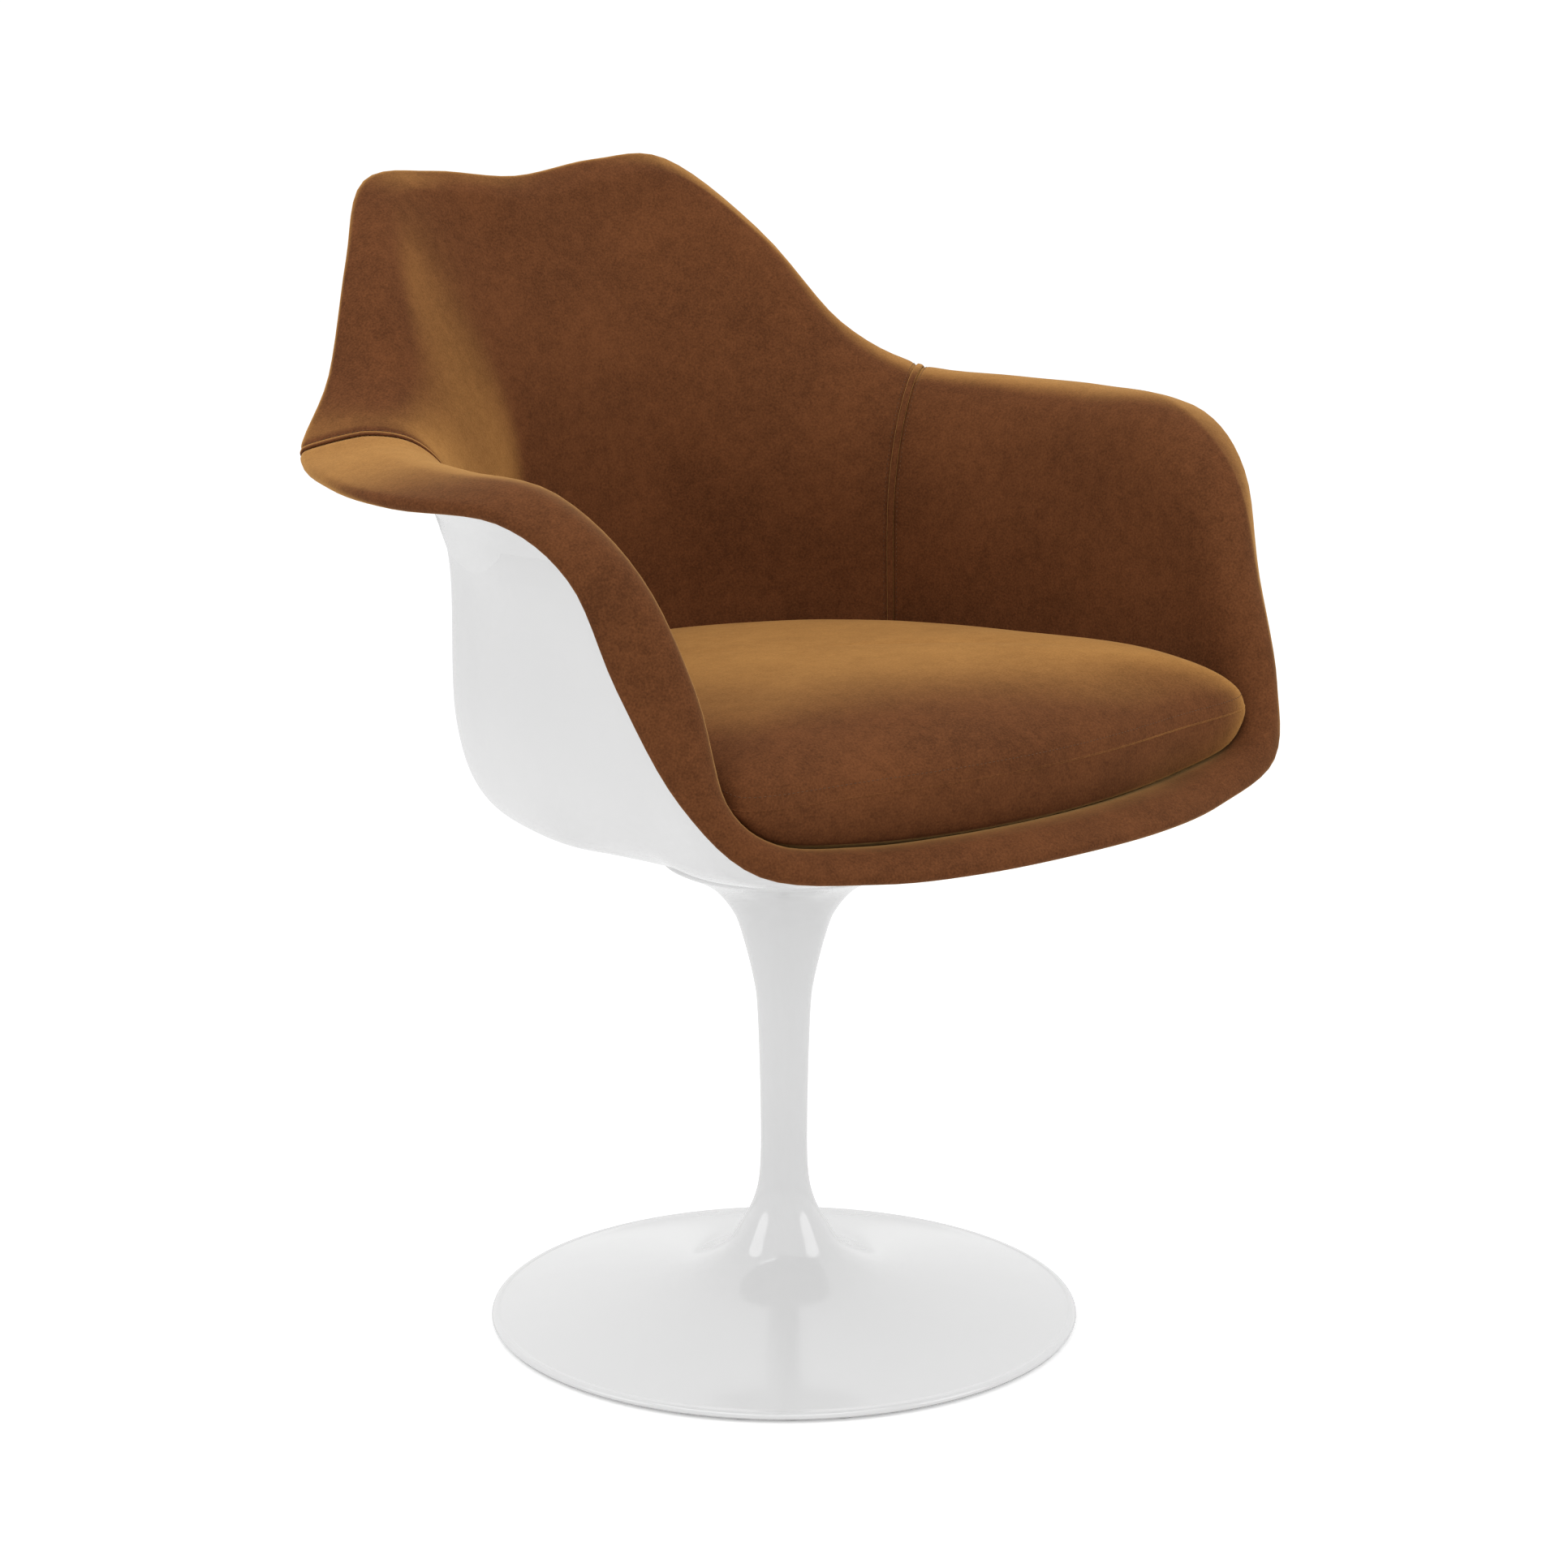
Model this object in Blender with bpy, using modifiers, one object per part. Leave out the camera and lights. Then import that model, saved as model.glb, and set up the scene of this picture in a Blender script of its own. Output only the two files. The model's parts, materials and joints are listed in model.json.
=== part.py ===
"""Pedestal armchair: a moulded tub seat with upholstered lining and a loose cushion, turning on a trumpet foot.

Metres, +Z up. The origin is on the swivel axis at floor level, and the sitter faces -Y.
"""

import math

import bmesh
import bpy
import numpy as np

# Foot and stem
FOOT_RADIUS = 0.212
FOOT_EDGE = 0.005
FOOT_RISE = 0.029
FOOT_WALL = 0.007
STEM_RADIUS = 0.0168
FLANGE_RADIUS = 0.087
FLANGE_EDGE = 0.0035
JOINT_HEIGHT = 0.3454
FLOOR_RING_INSET = 0.006
FLOOR_RING_WIDTH = 0.011
FLOOR_RING_THICKNESS = 0.003
FLOOR_CLEARANCE = 0.0015

# Swivel
SPINDLE_RADIUS = 0.0095
BUSH_WALL = 0.002
SLEEVE_WALL = 0.0025
SLEEVE_LENGTH = 0.080
SLEEVE_FLANGE_RADIUS = 0.036
SLEEVE_FLANGE = 0.005
SLEEVE_RECESS = 0.0057
UPPER_BUSH_LENGTH = 0.026
LOWER_BUSH_LENGTH = 0.018
BUSH_FLANGE_RADIUS = 0.019
BUSH_FLANGE = 0.0013
THRUST_WASHER = 0.0012
LOWER_FLANGE_STEP = 0.001
RETAINING_WASHER = 0.0012
RETAINING_RING = 0.0012
RING_WIDTH = 0.0036
RING_GROOVE = 0.0012
RING_MOUTH = 0.006
SPINDLE_TAIL = 0.004
BORE_END_CLEARANCE = 0.003
SLEEVE_SCREWS = 3
SLEEVE_SCREW_EDGE = 0.008
SLEEVE_SCREW_RADIUS = 0.0022
SLEEVE_SCREW_LENGTH = 0.016
SLEEVE_SCREW_HEAD_RADIUS = 0.0042
SLEEVE_SCREW_HEAD = 0.0026

# Fastening of the seat to the spindle
SEAT_PLATE_RADIUS = 0.060
SEAT_PLATE = 0.005
COLLAR_CLEARANCE = 0.003
COLLAR_FLARE = 0.0035
TURNING_GAP = 0.0012
LOAD_PLATE_RADIUS = 0.070
LOAD_PLATE = 0.003
LOAD_PLATE_CLEARANCE = 0.018
SEAT_BOLTS = 4
SEAT_BOLT_EDGE = 0.014
SEAT_BOLT_RADIUS = 0.004
SEAT_BOLT_HEAD_RADIUS = 0.0065
SEAT_BOLT_HEAD = 0.0053
SEAT_BOLT_SOCKET = 0.003
SEAT_BOLT_SOCKET_DEPTH = 0.003
SEAT_WASHER_RADIUS = 0.008
SEAT_WASHER = 0.0016

# Tub: the surface on which shell and lining meet. Rises are above the flat of the pan
FRONT_REACH = 0.297
FRONT_RISE = 0.040
FRONT_LIP = 0.033
FRONT_LIP_RISE = 0.010
ARM_HALF_WIDTH = 0.347
ARM_RISE = 0.270
ARM_FALL = 0.002
BACK_REACH = 0.300
BACK_RISE = 0.448
BACK_DIP = 0.008
TUB_HALF_WIDTH = 0.229
TUB_BACK = 0.217
PAN_EDGE_RADIUS = 0.152
PAN_EDGE_RISE = 0.009
SHELL_HOLE_RADIUS = 0.024

# Layers on that surface
SHELL_WALL = 0.0075
PAD_THICKNESS = 0.012
PAD_EDGE = 0.005
SEAT_PAD_THICKNESS = 0.020
RIM_OVERHANG = 0.004
SEAM_DEPTH = 0.003

# Cushion. Rises are above the flat of the pan
CUSHION_SEAM_RISE = 0.098
CUSHION_CROWN = 0.035
CUSHION_BOTTOM_SEAM_RISE = 0.063
CUSHION_CENTRE = -0.030
CUSHION_CLEARANCE = 0.005
CUSHION_SEAT_GAP = 0.0006
CUSHION_DRAW_IN = 0.003
COVER_THICKNESS = 0.0012
ZIP_THICKNESS = 0.0012

# Clearance between pieces that touch or turn
GAP = 0.0003

# Fineness of the round and lofted meshes
TURN_STEPS = 36
SMALL_STEPS = 20
BOLT_STEPS = 12
STATION_STEPS = 2
PROFILE_STEPS = 2

# Heights that follow from the stack of the swivel
RECESS_FLOOR = JOINT_HEIGHT - SLEEVE_RECESS
SLEEVE_TOP = RECESS_FLOOR + GAP + SLEEVE_FLANGE
SLEEVE_BOTTOM = SLEEVE_TOP - SLEEVE_LENGTH
BUSH_TOP = SLEEVE_TOP + GAP + BUSH_FLANGE
PLATE_BOTTOM = BUSH_TOP + GAP + THRUST_WASHER + GAP
PLATE_TOP = PLATE_BOTTOM + SEAT_PLATE
PAN_HEIGHT = PLATE_TOP + GAP + SHELL_WALL
LOAD_PLATE_TOP = PAN_HEIGHT + GAP + LOAD_PLATE
SEAT_WASHER_TOP = LOAD_PLATE_TOP + GAP + SEAT_WASHER
LOWER_FLANGE_BOTTOM = SLEEVE_BOTTOM - GAP - BUSH_FLANGE
RETAINER_BOTTOM = LOWER_FLANGE_BOTTOM - GAP - RETAINING_WASHER
RING_BOTTOM = RETAINER_BOTTOM - GAP - RETAINING_RING
SPINDLE_BOTTOM = RING_BOTTOM - GAP - SPINDLE_TAIL
BORE_BOTTOM = SPINDLE_BOTTOM - BORE_END_CLEARANCE
SCREW_TOP = SLEEVE_TOP - GAP
SCREW_SHOULDER = SCREW_TOP - SLEEVE_SCREW_HEAD

# Radii that follow from the spindle outwards
BUSH_BORE = SPINDLE_RADIUS + GAP
BUSH_RADIUS = BUSH_BORE + BUSH_WALL
SLEEVE_BORE = BUSH_RADIUS + GAP
SLEEVE_RADIUS = SLEEVE_BORE + SLEEVE_WALL
CASTING_BORE = SLEEVE_RADIUS + GAP
PAN_RADIUS = LOAD_PLATE_RADIUS + LOAD_PLATE_CLEARANCE


# Scene and finishes

for leftover in list(bpy.data.objects):
    bpy.data.objects.remove(leftover, do_unlink=True)

chair = bpy.data.collections.new("pedestal_armchair")
cutters = bpy.data.collections.new("cutters")
bpy.context.scene.collection.children.link(chair)
bpy.context.scene.collection.children.link(cutters)


def finish(name, colour, roughness, metallic=0.0):
    material = bpy.data.materials.new(name)
    material.use_nodes = True
    shader = material.node_tree.nodes["Principled BSDF"]
    shader.inputs["Base Color"].default_value = (*colour, 1.0)
    shader.inputs["Roughness"].default_value = roughness
    shader.inputs["Metallic"].default_value = metallic
    return material


FINISHES = {
    "white_coating": finish("white_coating", (0.86, 0.86, 0.86), 0.30),
    "white_moulding": finish("white_moulding", (0.88, 0.88, 0.88), 0.22),
    "brown_velvet": finish("brown_velvet", (0.16, 0.055, 0.018), 0.95),
    "foam": finish("foam", (0.80, 0.74, 0.55), 0.90),
    "bright_steel": finish("bright_steel", (0.62, 0.62, 0.64), 0.28, 1.0),
    "dark_steel": finish("dark_steel", (0.20, 0.20, 0.21), 0.42, 1.0),
    "nylon": finish("nylon", (0.78, 0.76, 0.70), 0.50),
    "black_nylon": finish("black_nylon", (0.03, 0.03, 0.03), 0.55),
    "zip_tape": finish("zip_tape", (0.11, 0.045, 0.02), 0.80),
}

# Empties on the joints' axes carry the pieces of each body
pivots = {}
for body_name in ("pedestal", "seat", "cushion"):
    pivot = bpy.data.objects.new(body_name + "_pivot", None)
    chair.objects.link(pivot)
    pivots[body_name] = pivot
pivots["seat"].parent = pivots["pedestal"]
pivots["cushion"].parent = pivots["seat"]


def keep(obj, body, look):
    """Puts a finished object under its body, with its finish and smooth shading."""
    obj.data.materials.append(FINISHES[look])
    obj.data.shade_smooth()
    obj.data.set_sharp_from_angle(angle=math.radians(40))
    obj.parent = pivots[body]


def cut(cutter, *objects):
    """Cuts one shape from each of the objects, and puts it away as a cutter."""
    chair.objects.unlink(cutter)
    cutters.objects.link(cutter)
    cutter.hide_render = True
    cutter.display_type = "WIRE"
    for obj in objects:
        modifier = obj.modifiers.new("cut_" + cutter.name, "BOOLEAN")
        modifier.operation = "DIFFERENCE"
        modifier.object = cutter


# Round shapes

def turned(name, profile, steps=SMALL_STEPS, place=(0.0, 0.0)):
    """A solid of revolution. The profile is (radius, height) points, down the outer side."""
    edges = [(i, i + 1) for i in range(len(profile) - 1)]
    if profile[0][0] > 0:
        edges.append((len(profile) - 1, 0))
    mesh = bpy.data.meshes.new(name)
    mesh.from_pydata([(radius, 0.0, height) for radius, height in profile], edges, [])
    obj = bpy.data.objects.new(name, mesh)
    obj.location = (*place, 0.0)
    chair.objects.link(obj)
    screw = obj.modifiers.new("turn", "SCREW")
    screw.steps = steps
    screw.render_steps = steps
    screw.use_merge_vertices = True
    screw.merge_threshold = 0.00005
    return obj


def ring(name, inner, outer, bottom, top, steps=SMALL_STEPS, place=(0.0, 0.0)):
    profile = [(inner, top), (outer, top), (outer, bottom), (inner, bottom)]
    return turned(name, profile, steps, place)


def rod(name, radius, bottom, top, steps=SMALL_STEPS, place=(0.0, 0.0)):
    shape = bmesh.new()
    height = top - bottom
    bmesh.ops.create_cone(shape, cap_ends=True, segments=steps, radius1=radius, radius2=radius, depth=height)
    mesh = bpy.data.meshes.new(name)
    shape.to_mesh(mesh)
    shape.free()
    obj = bpy.data.objects.new(name, mesh)
    obj.location = (*place, bottom + height / 2)
    chair.objects.link(obj)
    return obj


def headed(name, head_radius, shank_radius, top, shoulder, tip, place):
    """A screw or bolt: a round head on a shank."""
    profile = [
        (0.0, top),
        (head_radius, top),
        (head_radius, shoulder),
        (shank_radius, shoulder),
        (shank_radius, tip),
        (0.0, tip),
    ]
    return turned(name, profile, BOLT_STEPS, place)


def around(count, circle):
    """Places spread evenly on a circle about the axis."""
    turns = [math.pi / count + 2 * math.pi * i / count for i in range(count)]
    return [(circle * math.cos(turn), circle * math.sin(turn)) for turn in turns]


def spline(before, start, end, after, t):
    """A point of a Catmull-Rom curve from start to end."""
    return 0.5 * (
        2 * start
        + (end - before) * t
        + (2 * before - 5 * start + 4 * end - after) * t**2
        + (3 * start - before - 3 * end + after) * t**3
    )


def smooth_profile(points):
    """A profile with a smooth curve through the given points."""
    points = [np.array(point) for point in points]
    padded = [2 * points[0] - points[1], *points, 2 * points[-1] - points[-2]]
    curve = []
    for i in range(len(points) - 1):
        for k in range(PROFILE_STEPS):
            curve.append(spline(*padded[i : i + 4], k / PROFILE_STEPS))
    curve.append(points[-1])
    return [(float(radius), float(height)) for radius, height in curve]


# Lofted shapes

def solid_from(name, shape):
    bmesh.ops.remove_doubles(shape, verts=shape.verts, dist=0.00001)
    bmesh.ops.recalc_face_normals(shape, faces=shape.faces)
    mesh = bpy.data.meshes.new(name)
    shape.to_mesh(mesh)
    shape.free()
    obj = bpy.data.objects.new(name, mesh)
    chair.objects.link(obj)
    return obj


def loft(shape, columns, loop):
    """Faces over a grid of points, given as columns. Returns the grid's vertices."""
    grid = [[shape.verts.new(point) for point in column] for column in columns]
    following = grid[1:] + grid[:1] if loop else grid[1:]
    for here, there in zip(grid, following):
        for k in range(len(here) - 1):
            shape.faces.new((here[k], there[k], there[k + 1], here[k + 1]))
    return grid


def layer(name, low, high, loop=False):
    """A closed solid between two grids of points."""
    shape = bmesh.new()
    under = loft(shape, low, loop)
    over = loft(shape, high, loop)
    ends = [([column[k] for column in under], [column[k] for column in over], loop) for k in (0, -1)]
    if not loop:
        ends += [(under[i], over[i], False) for i in (0, -1)]
    for first, second, around_again in ends:
        first = first + first[:1] if around_again else first
        second = second + second[:1] if around_again else second
        for i in range(len(first) - 1):
            shape.faces.new((first[i], first[i + 1], second[i + 1], second[i]))
    return solid_from(name, shape)


# Tub surface

ARM = PAN_HEIGHT + ARM_RISE
FRONT = PAN_HEIGHT + FRONT_RISE
BACK = PAN_HEIGHT + BACK_RISE
LIP = FRONT_REACH - FRONT_LIP
LIP_TOP = FRONT + FRONT_LIP_RISE

# Each station runs inwards from the rim: rim, crest of the lip, upper wall, lower wall
STATIONS = [
    [
        (0.0, -FRONT_REACH, FRONT + 0.001),
        (0.0, -LIP, LIP_TOP),
        (0.0, -LIP + 0.039, FRONT - 0.006),
        (0.0, -LIP + 0.069, FRONT - 0.016),
    ],
    [
        (0.085, -FRONT_REACH + 0.008, FRONT),
        (0.080, -LIP + 0.006, LIP_TOP),
        (0.075, -LIP + 0.044, FRONT - 0.006),
        (0.066, -LIP + 0.074, FRONT - 0.016),
    ],
    [
        (0.160, -FRONT_REACH + 0.026, FRONT + 0.002),
        (0.150, -LIP + 0.019, LIP_TOP + 0.002),
        (0.138, -LIP + 0.054, FRONT - 0.004),
        (0.120, -LIP + 0.084, FRONT - 0.015),
    ],
    [
        (ARM_HALF_WIDTH - 0.109, -FRONT_REACH + 0.052, FRONT + 0.016),
        (TUB_HALF_WIDTH - 0.011, -LIP + 0.030, LIP_TOP + 0.014),
        (TUB_HALF_WIDTH - 0.032, -LIP + 0.062, FRONT + 0.004),
        (TUB_HALF_WIDTH - 0.057, -LIP + 0.097, FRONT - 0.008),
    ],
    [
        (ARM_HALF_WIDTH - 0.073, -FRONT_REACH + 0.086, FRONT + 0.062),
        (TUB_HALF_WIDTH + 0.020, -LIP + 0.051, FRONT + 0.053),
        (TUB_HALF_WIDTH + 0.002, -LIP + 0.080, FRONT + 0.024),
        (TUB_HALF_WIDTH - 0.024, -LIP + 0.117, FRONT + 0.001),
    ],
    [
        (ARM_HALF_WIDTH - 0.054, -0.174, ARM - 0.098),
        (TUB_HALF_WIDTH + 0.024, -0.187, ARM - 0.107),
        (TUB_HALF_WIDTH + 0.012, -0.150, ARM - 0.154),
        (TUB_HALF_WIDTH - 0.004, -0.115, PAN_HEIGHT + 0.064),
    ],
    [
        (ARM_HALF_WIDTH - 0.038, -0.147, ARM - 0.033),
        (TUB_HALF_WIDTH + 0.036, -0.150, ARM - 0.042),
        (TUB_HALF_WIDTH + 0.019, -0.112, ARM - 0.104),
        (TUB_HALF_WIDTH + 0.003, -0.085, PAN_HEIGHT + 0.077),
    ],
    [
        (ARM_HALF_WIDTH - 0.021, -0.095, ARM - 0.002),
        (TUB_HALF_WIDTH + 0.043, -0.086, ARM - ARM_FALL - 0.003),
        (TUB_HALF_WIDTH + 0.016, -0.075, ARM - 0.081),
        (TUB_HALF_WIDTH + 0.003, -0.055, PAN_HEIGHT + 0.087),
    ],
    [
        (ARM_HALF_WIDTH, -0.012, ARM),
        (TUB_HALF_WIDTH + 0.043, -0.010, ARM - ARM_FALL),
        (TUB_HALF_WIDTH + 0.009, -0.005, ARM - 0.081),
        (TUB_HALF_WIDTH, -0.005, PAN_HEIGHT + 0.089),
    ],
    [
        (ARM_HALF_WIDTH - 0.015, 0.075, ARM),
        (TUB_HALF_WIDTH + 0.034, 0.061, ARM - ARM_FALL - 0.002),
        (TUB_HALF_WIDTH - 0.004, 0.055, ARM - 0.076),
        (TUB_HALF_WIDTH - 0.012, 0.050, PAN_HEIGHT + 0.091),
    ],
    [
        (ARM_HALF_WIDTH - 0.058, 0.166, ARM + 0.008),
        (TUB_HALF_WIDTH + 0.012, TUB_BACK - 0.079, ARM - 0.002),
        (TUB_HALF_WIDTH - 0.028, TUB_BACK - 0.102, ARM - 0.071),
        (TUB_HALF_WIDTH - 0.032, TUB_BACK - 0.107, PAN_HEIGHT + 0.092),
    ],
    [
        (ARM_HALF_WIDTH - 0.106, BACK_REACH - 0.081, ARM + 0.053),
        (TUB_HALF_WIDTH - 0.024, TUB_BACK - 0.036, ARM + 0.028),
        (TUB_HALF_WIDTH - 0.062, TUB_BACK - 0.062, ARM - 0.051),
        (TUB_HALF_WIDTH - 0.066, TUB_BACK - 0.070, PAN_HEIGHT + 0.094),
    ],
    [
        (0.192, BACK_REACH - 0.043, BACK - 0.052),
        (0.165, TUB_BACK + 0.010, BACK - 0.094),
        (0.125, TUB_BACK - 0.027, ARM - 0.029),
        (0.122, TUB_BACK - 0.037, PAN_HEIGHT + 0.097),
    ],
    [
        (0.140, BACK_REACH - 0.005, BACK - 0.003),
        (0.122, BACK_REACH - 0.034, BACK - 0.044),
        (0.085, TUB_BACK - 0.001, ARM + 0.001),
        (0.083, TUB_BACK - 0.013, PAN_HEIGHT + 0.099),
    ],
    [
        (0.075, BACK_REACH + 0.001, BACK),
        (0.066, BACK_REACH - 0.023, BACK - 0.044),
        (0.045, TUB_BACK + 0.013, ARM + 0.011),
        (0.045, TUB_BACK - 0.002, PAN_HEIGHT + 0.099),
    ],
    [
        (0.0, BACK_REACH, BACK - BACK_DIP),
        (0.0, BACK_REACH - 0.024, BACK - BACK_DIP - 0.046),
        (0.0, TUB_BACK + 0.014, ARM + 0.001),
        (0.0, TUB_BACK, PAN_HEIGHT + 0.099),
    ],
]
LAST = len(STATIONS) - 1
SEAM_STATION = 10

# Rings of the surface, counted inwards from the rim
RIM, CREST, FILLET, PAN_EDGE, PAN, HOLE = 0, 1, 4, 5, 6, 7
FILLET_OUT = 0.19
FILLET_DOWN = 0.25


def meridian(station):
    """A station's points carried on round the fillet and across the pan to the hole in its middle."""
    points = [np.array(point) for point in station]
    lower = points[-1]
    across = lower * (1, 1, 0) / np.linalg.norm(lower[:2])
    edge = across * PAN_EDGE_RADIUS + (0, 0, PAN_HEIGHT + PAN_EDGE_RISE)
    depth = lower[2] - edge[2]
    fillet = (lower + edge) / 2 + across * depth * FILLET_OUT - np.array((0, 0, depth * FILLET_DOWN))
    flat = [across * radius + (0, 0, PAN_HEIGHT) for radius in (PAN_RADIUS, SHELL_HOLE_RADIUS)]
    return [*points, fillet, edge, *flat]


MERIDIANS = [meridian(station) for station in STATIONS]
MIRROR = np.array((-1.0, 1.0, 1.0))


def net(i, k):
    """A point of the net that spans the surface. Stations go on past the back centre down the other side."""
    i %= 2 * LAST
    points = MERIDIANS[i] if i <= LAST else [point * MIRROR for point in MERIDIANS[2 * LAST - i]]
    if k < 0:
        return 2 * points[0] - points[1]
    if k > HOLE:
        return 2 * points[HOLE] - points[HOLE - 1]
    return points[k]


def tub(u, v):
    """A point of the surface at station u and ring v."""
    i = math.floor(u)
    k = min(math.floor(v), HOLE - 1)
    across = [spline(*[net(i + a, k + b) for b in (-1, 0, 1, 2)], v - k) for a in (-1, 0, 1, 2)]
    return spline(*across, u - i)


def tub_normal(u, v):
    """The direction into the seat, square to the surface."""
    step = 0.01
    along = tub(u + step, v) - tub(u - step, v)
    inward = tub(u, v + step) - tub(u, v - step)
    normal = np.cross(along, inward)
    return normal / np.linalg.norm(normal)


def raised(u, v, height):
    return tub(u, v) + tub_normal(u, v) * height


def edge_ring(u):
    """The ring on which the shell ends, inside the lining's overhang."""
    near = 0.25
    return near * RIM_OVERHANG / np.linalg.norm(tub(u, near) - tub(u, RIM))


def pad_height(v):
    """How far the lining's face stands off the surface: thin at the rim, full from the crest of the lip."""
    if v < CREST:
        return PAD_EDGE + (PAD_THICKNESS - PAD_EDGE) * math.sin(math.pi / 2 * v)
    swell = min(max(v - FILLET, 0.0), 1.0)
    return PAD_THICKNESS + (SEAT_PAD_THICKNESS - PAD_THICKNESS) * swell


def columns_of(start, end):
    count = (end - start) * STATION_STEPS
    return [start + i / STATION_STEPS for i in range(count + 1)]


WALL_ROWS = (0.5, 1.0, 1.5, 2.0, 3.0, 3.5, 4.0)
PAN_ROWS = (4.5, 5.0, 6.0)


# Pedestal

def make_pedestal():
    top = JOINT_HEIGHT
    trumpet = [
        (FLANGE_RADIUS, top - FLANGE_EDGE),
        (FLANGE_RADIUS - 0.004, top - FLANGE_EDGE - 0.003),
        (STEM_RADIUS + 0.047, top - 0.0155),
        (STEM_RADIUS + 0.033, top - 0.025),
        (STEM_RADIUS + 0.0215, top - 0.039),
        (STEM_RADIUS + 0.0147, top - 0.054),
        (STEM_RADIUS + 0.0055, top - 0.090),
        (STEM_RADIUS + 0.0021, top - 0.119),
        (STEM_RADIUS, 0.150),
        (STEM_RADIUS + 0.0007, 0.109),
        (STEM_RADIUS + 0.0052, 0.087),
        (STEM_RADIUS + 0.0140, 0.070),
        (STEM_RADIUS + 0.0260, 0.052),
        (STEM_RADIUS + 0.0480, FOOT_RISE + 0.009),
        (STEM_RADIUS + 0.0780, FOOT_RISE),
        (FOOT_RADIUS - 0.042, FOOT_EDGE + 0.0095),
        (FOOT_RADIUS - 0.004, FOOT_EDGE + 0.0020),
        (FOOT_RADIUS, FOOT_EDGE),
    ]
    ring_outer = FOOT_RADIUS - FLOOR_RING_INSET
    ring_inner = ring_outer - FLOOR_RING_WIDTH
    seat = FLOOR_RING_THICKNESS + GAP
    cavity = [
        (STEM_RADIUS + 0.078, FOOT_RISE - FOOT_WALL),
        (STEM_RADIUS + 0.048, FOOT_RISE + 0.009 - FOOT_WALL),
        (STEM_RADIUS + 0.022, 0.050 - FOOT_WALL),
        (STEM_RADIUS + 0.005, 0.068 - FOOT_WALL),
        (0.0, 0.078 - FOOT_WALL),
    ]
    recess = SLEEVE_FLANGE_RADIUS + GAP
    profile = [
        (0.0, BORE_BOTTOM),
        (CASTING_BORE, BORE_BOTTOM),
        (CASTING_BORE, RECESS_FLOOR),
        (recess, RECESS_FLOOR),
        (recess, top),
        (FLANGE_RADIUS - FLANGE_EDGE, top),
        *smooth_profile(trumpet),
        (FOOT_RADIUS - 0.001, FLOOR_CLEARANCE + 0.001),
        (FOOT_RADIUS - 0.003, FLOOR_CLEARANCE),
        (ring_outer + GAP, FLOOR_CLEARANCE),
        (ring_outer + GAP, seat),
        (ring_inner - GAP, seat),
        *cavity,
    ]
    casting = turned("pedestal_casting", profile, TURN_STEPS)
    keep(casting, "pedestal", "white_coating")
    floor_ring = ring("floor_ring", ring_inner, ring_outer, 0.0, FLOOR_RING_THICKNESS, TURN_STEPS)
    keep(floor_ring, "pedestal", "black_nylon")
    return casting


# Bearing

def make_bearing(casting):
    sleeve_profile = [
        (SLEEVE_BORE, SLEEVE_TOP),
        (SLEEVE_FLANGE_RADIUS, SLEEVE_TOP),
        (SLEEVE_FLANGE_RADIUS, SLEEVE_TOP - SLEEVE_FLANGE),
        (SLEEVE_RADIUS, SLEEVE_TOP - SLEEVE_FLANGE),
        (SLEEVE_RADIUS, SLEEVE_BOTTOM),
        (SLEEVE_BORE, SLEEVE_BOTTOM),
    ]
    sleeve = turned("bearing_sleeve", sleeve_profile)
    keep(sleeve, "pedestal", "dark_steel")
    upper_profile = [
        (BUSH_BORE, BUSH_TOP),
        (BUSH_FLANGE_RADIUS, BUSH_TOP),
        (BUSH_FLANGE_RADIUS, SLEEVE_TOP + GAP),
        (BUSH_RADIUS, SLEEVE_TOP + GAP),
        (BUSH_RADIUS, BUSH_TOP - UPPER_BUSH_LENGTH),
        (BUSH_BORE, BUSH_TOP - UPPER_BUSH_LENGTH),
    ]
    keep(turned("upper_bush", upper_profile), "pedestal", "nylon")
    lower_flange = SLEEVE_RADIUS - LOWER_FLANGE_STEP
    lower_profile = [
        (BUSH_BORE, LOWER_FLANGE_BOTTOM + LOWER_BUSH_LENGTH),
        (BUSH_RADIUS, LOWER_FLANGE_BOTTOM + LOWER_BUSH_LENGTH),
        (BUSH_RADIUS, SLEEVE_BOTTOM - GAP),
        (lower_flange, SLEEVE_BOTTOM - GAP),
        (lower_flange, LOWER_FLANGE_BOTTOM),
        (BUSH_BORE, LOWER_FLANGE_BOTTOM),
    ]
    keep(turned("lower_bush", lower_profile), "pedestal", "nylon")
    tip = SCREW_SHOULDER - SLEEVE_SCREW_LENGTH
    for i, place in enumerate(around(SLEEVE_SCREWS, SLEEVE_FLANGE_RADIUS - SLEEVE_SCREW_EDGE), 1):
        name = f"sleeve_screw_{i}"
        radii = (SLEEVE_SCREW_HEAD_RADIUS, SLEEVE_SCREW_RADIUS)
        keep(headed(name, *radii, SCREW_TOP, SCREW_SHOULDER, tip, place), "pedestal", "bright_steel")
        loose = [radius + GAP for radius in radii]
        above = SLEEVE_TOP + SLEEVE_SCREW_HEAD
        hole = headed(name + "_hole", *loose, above, SCREW_SHOULDER - GAP, tip - GAP, place)
        cut(hole, sleeve, casting)


# Spindle and what holds it down

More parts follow.
